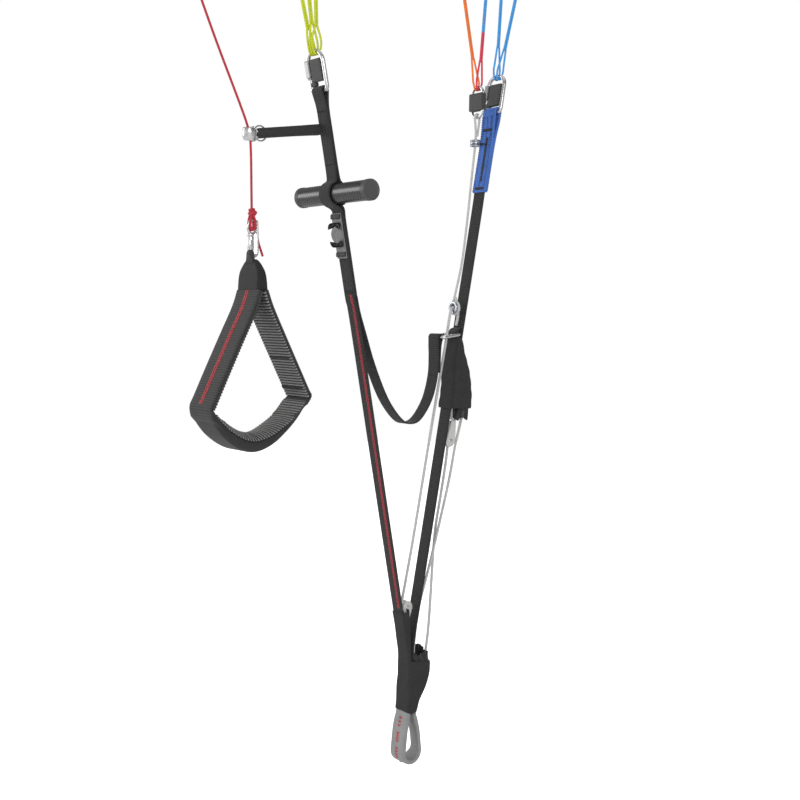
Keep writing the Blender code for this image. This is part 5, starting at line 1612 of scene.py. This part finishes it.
class RISERSET_OT_brake_line(Operator):
    """The red brake line through its ring, the knot, the doubled loop and the short tail"""

    bl_idname = "riserset.brake_line"
    bl_label = "Brake Line"

    def execute(self, context):
        radius, finish = sizes().brake_radius, "brake_line"
        mouth, head = Vector((-0.1425, 0, 0.4795)), Vector((-0.1925, 0, 0.595))
        legs = Vector((-0.002, 0, 0.005))
        path = [Vector((-0.1421, 0, 0.4766)), mouth, mouth.lerp(head, 0.1) + Vector((0.0006, 0, 0.001)),
            mouth.lerp(head, 0.5), head - legs * 1.9, head + Vector((-0.0028, 0, -0.004)), head,
            head + Vector((0.0026, 0, -0.0032)), head - legs * 1.9 + Vector((0.0017, 0, 0.0004)),
            head - legs * 3.0 + Vector((0.0015, 0, 0.0004))]
        keep(cord("brake_cord_upper", smooth(path, 5), radius, finish), "riser", "brake_line",
            "brake_line_upper")

        x = BRAKE_X
        line = [(x - 0.0004, 0, 0.4754), (x, 0, 0.462), (x, 0, 0.44), (x, 0, 0.429), (x, 0, 0.4262)]
        parts = [cord("standing", smooth(line, 8), radius, finish)]
        # Three turns round the standing part, drawn tight, with one crossing turn
        knot = []
        for k in range(43):
            turn = 2 * pi * k / 14 - 1.2
            out = 0.00185 - 0.0005 * (k / 42) + 0.0002 * sin(turn * 0.5)
            knot.append((x + 0.0003 + out * 1.15 * cos(turn), out * sin(turn), 0.424 + 0.0036 * k / 42))
        parts.append(cord("turns", knot, radius * 1.05, finish))
        crossing = [(x - 0.0022, -0.001, 0.4234), (x - 0.0016, -0.0027, 0.4246),
            (x + 0.0006, -0.0029, 0.4258), (x + 0.0024, -0.0017, 0.4252), (x + 0.0022, 0.0012, 0.424)]
        parts.append(cord("crossing", smooth(crossing, 5), radius * 1.05, finish))
        tail = [(x + 0.0014, 0.001, 0.4244), (x + 0.003, 0.0026, 0.422), (x + 0.0042, 0.0034, 0.418),
            (x + 0.0056, 0.003, 0.412), (x + 0.007, 0.0024, 0.4045), (x + 0.0094, 0.0014, 0.3962)]
        parts.append(cord("tail", smooth(tail, 8), radius, finish))
        keep(merged("brake_cord_and_knot", parts), "brake_line", "brake_line", "brake_line_lower")

        loops = []
        for y in (-0.0011, 0.0011):
            loop = [(x - 0.0006, y, 0.4236), (x - 0.0018, y * 1.1, 0.4196), (x - 0.0019, y, 0.4156),
                (x, y, 0.4134), (x + 0.0019, y, 0.4156), (x + 0.0018, y * 1.1, 0.4196),
                (x + 0.0006, y, 0.4236)]
            loops.append(cord("loop", smooth(loop, 6), radius * 1.12, finish))
        keep(merged("brake_double_loop", loops), "brake_line", "brake_line", "brake_line_loop")
        return {"FINISHED"}


class RISERSET_OT_snap(Operator):
    """The small snap: a fixed bow above, and a body that turns under it with its spine and hook"""

    bl_idname = "riserset.snap"
    bl_label = "Snap Hook"

    def execute(self, context):
        x, z, steel = BRAKE_X, SNAP_Z, "steel"
        bow = circle(Vector((x + 0.0002, 0, z + 0.005)), 1, AHEAD * 0.0036, UP * 0.0046, 32)
        keep(wire("snap_bow", bow, 0.0009), "brake_line", "steel", "swivel_bow")
        profile = ((0.0, -0.011), (0.0019, -0.011), (0.0024, -0.0106), (0.0024, -0.0102), (0.0021, -0.01),
            (0.0021, -0.0096), (0.0024, -0.0093), (0.0024, -0.002), (0.0021, -0.0018), (0.0021, -0.0013),
            (0.0026, -0.001), (0.0026, 0.0002), (0.0018, 0.0006), (0.0, 0.0006))
        body = lathe("snap_barrel", (x - 0.0013, 0, z), UP, rounded_profile(profile, 0.0002, 2, closed=False),
            steel, 40, closed=False)
        keep(body, "swivel", "steel", "swivel_body")
        spine = [(x + 0.003, 0.4196), (x + 0.0037, 0.4184), (x + 0.0038, 0.4075), (x + 0.0037, 0.3985),
            (x + 0.0028, 0.396), (x + 0.0012, 0.395), (x - 0.001, 0.3952), (x - 0.0022, 0.3968),
            (x - 0.0022, 0.399)]
        web = strap("snap_spine", smooth(in_xz(spine), 5), 0.0034, 0.0015, steel, step=0.0004, flats=6,
            edge=0.0005)
        lever = block("snap_gate", Vector((x - 0.0026, -0.0024, z - 0.006)), AHEAD, UP,
            (0.0014, 0.0012, 0.0042), 0.0004, steel)
        keep(merged("snap_hook", [web, lever]), "swivel", "steel", "swivel_hook")
        return {"FINISHED"}


class RISERSET_OT_brake_handle(Operator):
    """The brake handle: moulded cap, ribbed legs with the red centre band, and the padded grip"""

    bl_idname = "riserset.brake_handle"
    bl_label = "Brake Handle"

    def execute(self, context):
        size = sizes()
        x, width = BRAKE_X, size.handle_width
        rows = ((0.3932, 0.0018, 0.0048), (0.3915, 0.0022, 0.0068), (0.389, 0.0027, 0.009),
            (0.385, 0.0033, 0.0117), (0.381, 0.0037, 0.0128), (0.3765, 0.0041, 0.013),
            (0.3715, 0.0045, 0.0129))
        rings, places = [], []
        table = [(-h, tx, ty) for h, tx, ty in rows]
        for k in range(41):
            h = 0.3932 - 0.0217 * k / 40
            half_x, half_y = between(table, -h)
            edge = 0.0005 * max(0.0, 1 - min(k, 40 - k) / 1.5)
            rings.append(box_ring(x - half_x + edge, x + half_x - edge, half_y - edge, h, 0.0013, 5, 6))
            places.append(0.00054 * k)
        keep(skin("handle_cap_moulding", rings, "cap_cover", 0.001, places, sharp=45), "brake_handle",
            "neoprene", "handle_cap")
        arch = [(0.0036 * cos(t) - 0.0006, 0.3962 + 0.004 * sin(t)) for t in (pi * k / 20 for k in range(21))]
        outline = [(0.0036, 0.3905)] + arch + [(-0.0048, 0.3905)]
        tab = plate("handle_tab", [Vector((x - 0.0032, y, z)) for y, z in outline], Vector((0.0026, 0, 0)),
            "grip", 0.0006)
        keep(tab, "brake_handle", "webbing", "handle_eye")

        pitch = size.handle_rib
        ladder = size.ladder_rib
        thickness = ((0.0, 0.0028), (0.1, 0.0048), (0.2, 0.0064), (0.35, 0.0077), (0.52, 0.0074),
            (0.66, 0.0048), (0.8, 0.0022), (0.9, 0.0014), (1.0, 0.0014))

        def leg_relief(a, along, b):
            fade = clamped(1 - (along - 0.086) / 0.014)
            return 0.00024 * fade * (abs(sin(pi * along / pitch)) ** 0.6 - 1) if b > 0 else 0.0

        def ladder_relief(a, along, b):
            return 0.0008 * (abs(sin(pi * along / ladder)) ** 2.2 - 1) if b > 0 else 0.0

        def plump(share):
            return between(thickness, share)[0]

        left = [(x - 0.0024, 0.3718), (x - 0.0068, 0.36), (-0.1579, 0.3412), (-0.169, 0.32),
            (-0.1794, 0.2996), (-0.183, 0.2924)]
        right = [(x + 0.0024, 0.3718), (x + 0.0068, 0.36), (-0.1252, 0.3412), (-0.1145, 0.32),
            (-0.1048, 0.3008), (-0.1026, 0.2964)]
        grip = [(-0.1832, 0.2908), (-0.1795, 0.2838), (-0.1722, 0.2752), (-0.1632, 0.2686), (-0.1562, 0.2652),
            (-0.149, 0.2638), (-0.142, 0.2648), (-0.1333, 0.2681), (-0.124, 0.2741), (-0.1185, 0.2784),
            (-0.1139, 0.2828), (-0.1083, 0.2896), (-0.103, 0.2949)]
        grip_line = smooth(in_xz(grip), 4)
        last = len(grip_line) - 1

        def on_grip(share, lift):
            """A place over the grip's middle line, lift inwards."""
            i = min(max(round(share * last), 1), last - 1)
            return grip_line[i] + outward(grip_line, i) * lift

        # Outer webbing down each leg, folded round the corner and running out over the grip's cover
        for name, node, top, shares, face in (
            ("handle_web_rear", "handle_leg_rear", left, (0.035, 0.06, 0.085, 0.11, 0.14), -1),
            ("handle_web_front", "handle_leg_front", right, (0.965, 0.93, 0.89, 0.85, 0.81), 1),
        ):
            ends = [on_grip(share, -plump(share) / 2 - lift) for share,
                lift in zip(shares, (0.0002, -0.0003, -0.0009, -0.0016, -0.0024))]
            leg = beside(smooth(in_xz(top), 4), 0, 0.001, face=face)[0]
            route = smooth(leg[::4] + ends, 5)
            web = strap(name, route, width, 0.0017, "handle_web", face=face, step=pitch / 6, flats=6,
                relief=leg_relief)
            keep(web, "brake_handle", "webbing", node)
            if face < 0:
                band = stretch(route, 0.001, 0.0866)
                rows = [seam(*beside(band, offset, 0.0009, face=face), "red_thread", pitch=0.00078,
                    length=0.0027, radius=0.0003, slant=0.75) for offset in (-0.0011, 0.0011)]
                keep(merged("handle_red_band", rows), "brake_handle", "brake_line")
            spot = stretch(route, 0.0905, 0.0925)
            outs = beside(spot, 0, 0, face=face)[1]
            row = seam(bar_at(spot[0] + outs[0] * 0.00085, 12), outs[0], pitch=0.0014, radius=0.00016,
                name=f"fold_row_{face}")
            keep(row, "brake_handle", "webbing")

        # The padded grip: rounded outside, crowned inside
        def crown(a):
            return 0.0046 * (1 - (2 * a / width) ** 2)

        def over_grip(share):
            return clamped(share / 0.13) ** 0.8 * clamped((1 - share) / 0.6) ** 1.5

        grip_length = reaches(grip_line)[-1]
        pad = strap("handle_grip_pad", grip_line, width, plump, "grip", face=-1, step=0.0008, flats=12,
            relief=lambda a, along, b: crown(a) * over_grip(along / grip_length) * 0.6 if b < 0 else 0.0,
            edge=lambda share: 0.44 * plump(share))
        keep(pad, "brake_handle", "grip", "handle_grip")

        # Ribbed webbing inside: down the rear leg, over the grip's crown and up the front leg
        lining = []
        crowned = [on_grip(k / 24, plump(k / 24) / 2 + 0.0003) for k in range(1, 24)]
        down = beside(smooth(in_xz(left), 4), 0, 0.0017, face=1)[0]
        rise = beside(smooth(in_xz(right[::-1]), 4), 0, 0.0013, face=1)[0]
        over = (crowned, 0.0014, lambda a, share: crown(a) * over_grip(share))
        keep(strap("handle_lining_rear", down, width * 0.985, 0.0032, "handle_web", face=1, step=ladder / 8,
            flats=10, relief=ladder_relief), "brake_handle", "webbing")
        # Painted light: the front leg's and the crown's lining take the pale lit finish, the rear leg's the
        # dark handle finish, though all are one webbing
        for n, (route, thick, bow) in enumerate(((rise, 0.0024, None), over)):
            lining.append(strap(f"handle_lining_{n}", route, width * 0.985, thick, "ladder_web", face=1,
                step=ladder / 8, flats=10, relief=ladder_relief, bow=bow))
        keep(merged("handle_lining_web", lining), "brake_handle", "webbing")
        rows = []
        for z in (0.3655, 0.3647, 0.3262, 0.3254, 0.3246, 0.304, 0.3032, 0.3024):
            k = min(range(1, len(rise) - 1), key=lambda i: abs(rise[i].z - z))
            out = outward(rise, k)
            middle = rise[k] + UP * (z - rise[k].z) + out * 0.001
            rows.append(seam(bar_at(middle, 12), out, pitch=0.0008, length=0.0019, radius=0.00034, slant=1.3))
        keep(merged("handle_lining_rows", rows), "brake_handle", "webbing")
        return {"FINISHED"}


class RISERSET_OT_roll_handle(Operator):
    """The carbon tube that the rear riser's layers part round, with its two caps"""

    bl_idname = "riserset.roll_handle"
    bl_label = "Roll Handle"

    def execute(self, context):
        inner, half = 0.0062, ROLL_HALF - ROLL_CAP
        rings, places = [], []
        for k in range(61):
            y = -half + 2 * half * k / 60
            rings.append(circle(ROLL_CENTRE + ACROSS * y, ROLL_OUTER, AHEAD, UP, 72))
            places.append(y + half)
        rings += [circle(ROLL_CENTRE + ACROSS * y, inner, AHEAD, UP, 72) for y in (half, -half)]
        keep(skin("carbon_tube", rings, "carbon", 1 / 72, places + [0.09, 0.17, 0.18], closed=True),
            "roll_handle", "carbon", "roll_tube")
        for name, node, side in (("roll_end_near", "roll_cap_near", -1), ("roll_end_far", "roll_cap_far", 1)):
            start = half + GAP
            profile = ((0.0, half - 0.006), (inner - GAP, half - 0.006), (inner - GAP, start),
                (ROLL_OUTER + 0.0003, start), (ROLL_OUTER + 0.0003, ROLL_HALF - 0.0004),
                (ROLL_OUTER - 0.0004, ROLL_HALF + 0.0001), (ROLL_OUTER - 0.001, ROLL_HALF),
                (ROLL_OUTER - 0.0013, ROLL_HALF - 0.0003), (0.0, ROLL_HALF - 0.0003))
            shape = rounded_profile(profile, 0.0003, 3, closed=False)
            keep(lathe(name, ROLL_CENTRE, (0, side, 0), shape, "cap", 72, closed=False), "roll_handle",
                "cap_plastic", node)
        return {"FINISHED"}


class RISERSET_OT_parking(Operator):
    """The strip and the pointed disc that hold the parked brake handle"""

    bl_idname = "riserset.parking"
    bl_label = "Parking Strip"

    def execute(self, context):
        face = 0.0016 + GAP / 2 + GAP
        thick = 0.0012
        path = in_xz([(rear_x(z) - face - thick / 2, z) for z in (0.396, 0.412, 0.4286)])
        strip = strap("parking_strip", path, 0.011, thick, "parking", step=0.0008, flats=8, edge=0.0004)
        bands = []
        for z in (0.4262, 0.3988):
            centre = Vector((rear_x(z) - face - thick - 0.0003, 0, z))
            bands.append(block("parking_band", centre, AHEAD, UP, (0.0012, 0.0113, 0.0034), 0.0005, "gloss"))
        keep(strip, "riser", "keeper_plastic", "keeper_strip")
        keep(merged("parking_bands", bands), "riser", "webbing")

        z = 0.4138
        normal = Vector((-1, 0, REAR_LEAN)).normalized()
        up = Vector((REAR_LEAN, 0, 1)).normalized()
        centre = Vector((rear_x(z), 0, z)) + normal * (face + thick + GAP)
        profile = ((0.0, 0.0), (0.0064, 0.0), (0.0064, 0.0012), (0.0058, 0.002), (0.0036, 0.0022),
            (0.003, 0.0017), (0.0, 0.0017))
        parts = [lathe("parking_button", centre, normal, rounded_profile(profile, 0.0004, 3, closed=False),
            "parking", 48, closed=False)]
        # Across and up from the disc's middle, and how far out of its face
        leaf = ((0.0004, 0.0071, 0.001), (0.0024, 0.0074, 0.0013), (0.0047, 0.0066, 0.0019),
            (0.0068, 0.0048, 0.003))
        for sy, sz in ((1, 1), (-1, 1), (1, -1), (-1, -1)):
            line = [centre + ACROSS * (sy * y) + up * (sz * h) + normal * out for y, h, out in leaf]
            parts.append(strap("parking_point", smooth(line, 5), 0.0009,
                lambda share: 0.0006 + 0.003 * sin(pi * (0.15 + 0.82 * share)), "gloss", across=normal,
                step=0.0004))
        keep(merged("parking_disc", parts), "riser", "keeper_plastic", "keeper_disc")
        return {"FINISHED"}


CAMERA_PLACE = (-0.5632, -0.6522, 0.3625)
CAMERA_PITCH, CAMERA_TURN = 85.0, -40.5
FOCAL_SHARE = 1100 / 800
SENSOR = 36.0
FLOOR_Z = -0.14


class RISERSET_OT_stage(Operator):
    """Pale floor, soft lights, the sky that the metal mirrors, and the camera"""

    bl_idname = "riserset.stage"
    bl_label = "Stage"

    def execute(self, context):
        scene = context.scene
        scene.view_settings.view_transform = "Standard"
        data = bpy.data.cameras.new("photo_view")
        data.sensor_width = SENSOR
        data.lens = SENSOR * FOCAL_SHARE
        data.clip_start, data.clip_end = 0.01, 50
        camera = bpy.data.objects.new("photo_view", data)
        camera.location = CAMERA_PLACE
        camera.rotation_euler = (radians(CAMERA_PITCH), 0, radians(CAMERA_TURN))
        scene.collection.objects.link(camera)
        scene.camera = camera

        FINISHES["floor"], tree, shader, spot = new_material("Pale floor", 0.9, specular=0.1)
        clouds = add(tree, "ShaderNodeTexNoise", {"Vector": spot, "Scale": 3.0})
        tone = add(tree, "ShaderNodeMapRange", {"Value": clouds, "To Min": 0.9, "To Max": 0.93})
        tint = add(tree, "ShaderNodeCombineColor", {0: tone, 1: tone, 2: tone})
        feed(tree, shader.inputs["Base Color"], tint.outputs[0])
        shader.inputs["Emission Color"].default_value = (1, 1, 1, 1)
        seen = add(tree, "ShaderNodeLightPath").outputs["Is Camera Ray"]
        feed(tree, shader.inputs["Emission Strength"], times(tree, seen, 0.9))
        rings = [circle(UP * (FLOOR_Z - drop), radius, AHEAD, ACROSS, 96) for radius,
            drop in ((0.02, 0.0), (0.8, 0.0), (3.0, 0.0), (3.3, 0.02), (3.3, 0.06), (0.02, 0.06))]
        skin("pale_floor", rings, "floor", 1 / 96, [0, 1, 2, 3, 4, 5])

        # name, place, aim, size, power
        lamps = (
            ("key", (-1.15, 1.35, 0.78), (-0.05, 0.0, 0.42), 0.8, 6.5),
            ("side", (-0.8, -1.7, 0.9), (0.0, 0.0, 0.3), 0.9, 12.0),
            ("back", (1.2, 0.9, 1.3), (0.0, 0.0, 0.3), 0.9, 5.0),
        )
        for name, place, aim, size, power in lamps:
            lamp = bpy.data.lights.new(name, "AREA")
            lamp.shape = "DISK"
            lamp.size = size
            lamp.energy = power
            holder = bpy.data.objects.new(name, lamp)
            holder.location = place
            holder.rotation_euler = (Vector(aim) - Vector(place)).to_track_quat("-Z", "Y").to_euler()
            scene.collection.objects.link(holder)

        world = bpy.data.worlds.new("studio")
        world.use_nodes = True
        tree = world.node_tree
        background = tree.nodes["Background"]
        spot = add(tree, "ShaderNodeTexCoord").outputs["Generated"]
        height = add(tree, "ShaderNodeSeparateXYZ", {0: spot}).outputs["Z"]
        share = times(tree, height, 0.5, 0.5)
        # Brightness from below to above: a bright wall at eye height, a dim band, a top panel
        ramp = add(tree, "ShaderNodeValToRGB", {"Fac": share})
        steps = ((0.0, 0.45), (0.3, 0.3), (0.42, 0.62), (0.5, 0.95), (0.62, 0.8), (0.72, 0.26), (0.85, 0.24),
            (0.93, 0.95), (1.0, 1.05))
        marks = ramp.color_ramp.elements
        while len(marks) < len(steps):
            marks.new(0.5)
        for mark, (place, level) in zip(marks, steps):
            mark.position = place
            mark.color = (level / 1.1, level / 1.1, level / 1.1, 1)
        side = add(tree, "ShaderNodeVectorMath", {0: spot, 1: (-0.62, 0.55, 0.0)}, operation="DOT_PRODUCT")
        lit = times(tree, times(tree, ramp.outputs["Color"], 1.1), times(tree, side.outputs["Value"], 0.45,
            0.85))
        seen = add(tree, "ShaderNodeLightPath").outputs["Is Camera Ray"]
        strength = maths(tree, "ADD", times(tree, lit, maths(tree, "SUBTRACT", 1.0, seen)), seen)
        background.inputs["Color"].default_value = (1, 1, 1, 1)
        feed(tree, background.inputs["Strength"], strength)
        scene.world = world
        return {"FINISHED"}


STEPS = (
    RISERSET_OT_stage, RISERSET_OT_main_loop, RISERSET_OT_risers, RISERSET_OT_sleeve, RISERSET_OT_covers,
    RISERSET_OT_link, RISERSET_OT_pulleys, RISERSET_OT_quick_links, RISERSET_OT_lines,
    RISERSET_OT_speed_cords, RISERSET_OT_rings, RISERSET_OT_brake_mount, RISERSET_OT_brake_line,
    RISERSET_OT_snap, RISERSET_OT_brake_handle, RISERSET_OT_roll_handle, RISERSET_OT_parking,
)


class RISERSET_PT_panel(Panel):
    """Sizes, colours and makers of the riser set"""

    bl_idname = "RISERSET_PT_panel"
    bl_label = "Riser Set"
    bl_space_type = "VIEW_3D"
    bl_region_type = "UI"
    bl_category = "Riser Set"

    def draw(self, context):
        layout = self.layout
        for title, group in (("Sizes", sizes()), ("Colours", colours())):
            box = layout.box()
            box.label(text=title)
            for name in group.__annotations__:
                box.prop(group, name)
        for step in STEPS:
            layout.operator(step.bl_idname)


CLASSES = (RiserSizes, RiserColours, *STEPS, RISERSET_PT_panel)


def register():
    for item in CLASSES:
        bpy.utils.register_class(item)
    bpy.types.Scene.riser_sizes = PointerProperty(type=RiserSizes)
    bpy.types.Scene.riser_colours = PointerProperty(type=RiserColours)


def unregister():
    del bpy.types.Scene.riser_colours
    del bpy.types.Scene.riser_sizes
    for item in reversed(CLASSES):
        bpy.utils.unregister_class(item)


def main():
    register()
    make_finishes()
    for step in STEPS:
        group, name = step.bl_idname.split(".")
        getattr(getattr(bpy.ops, group), name)()


if __name__ == "__main__":
    main()
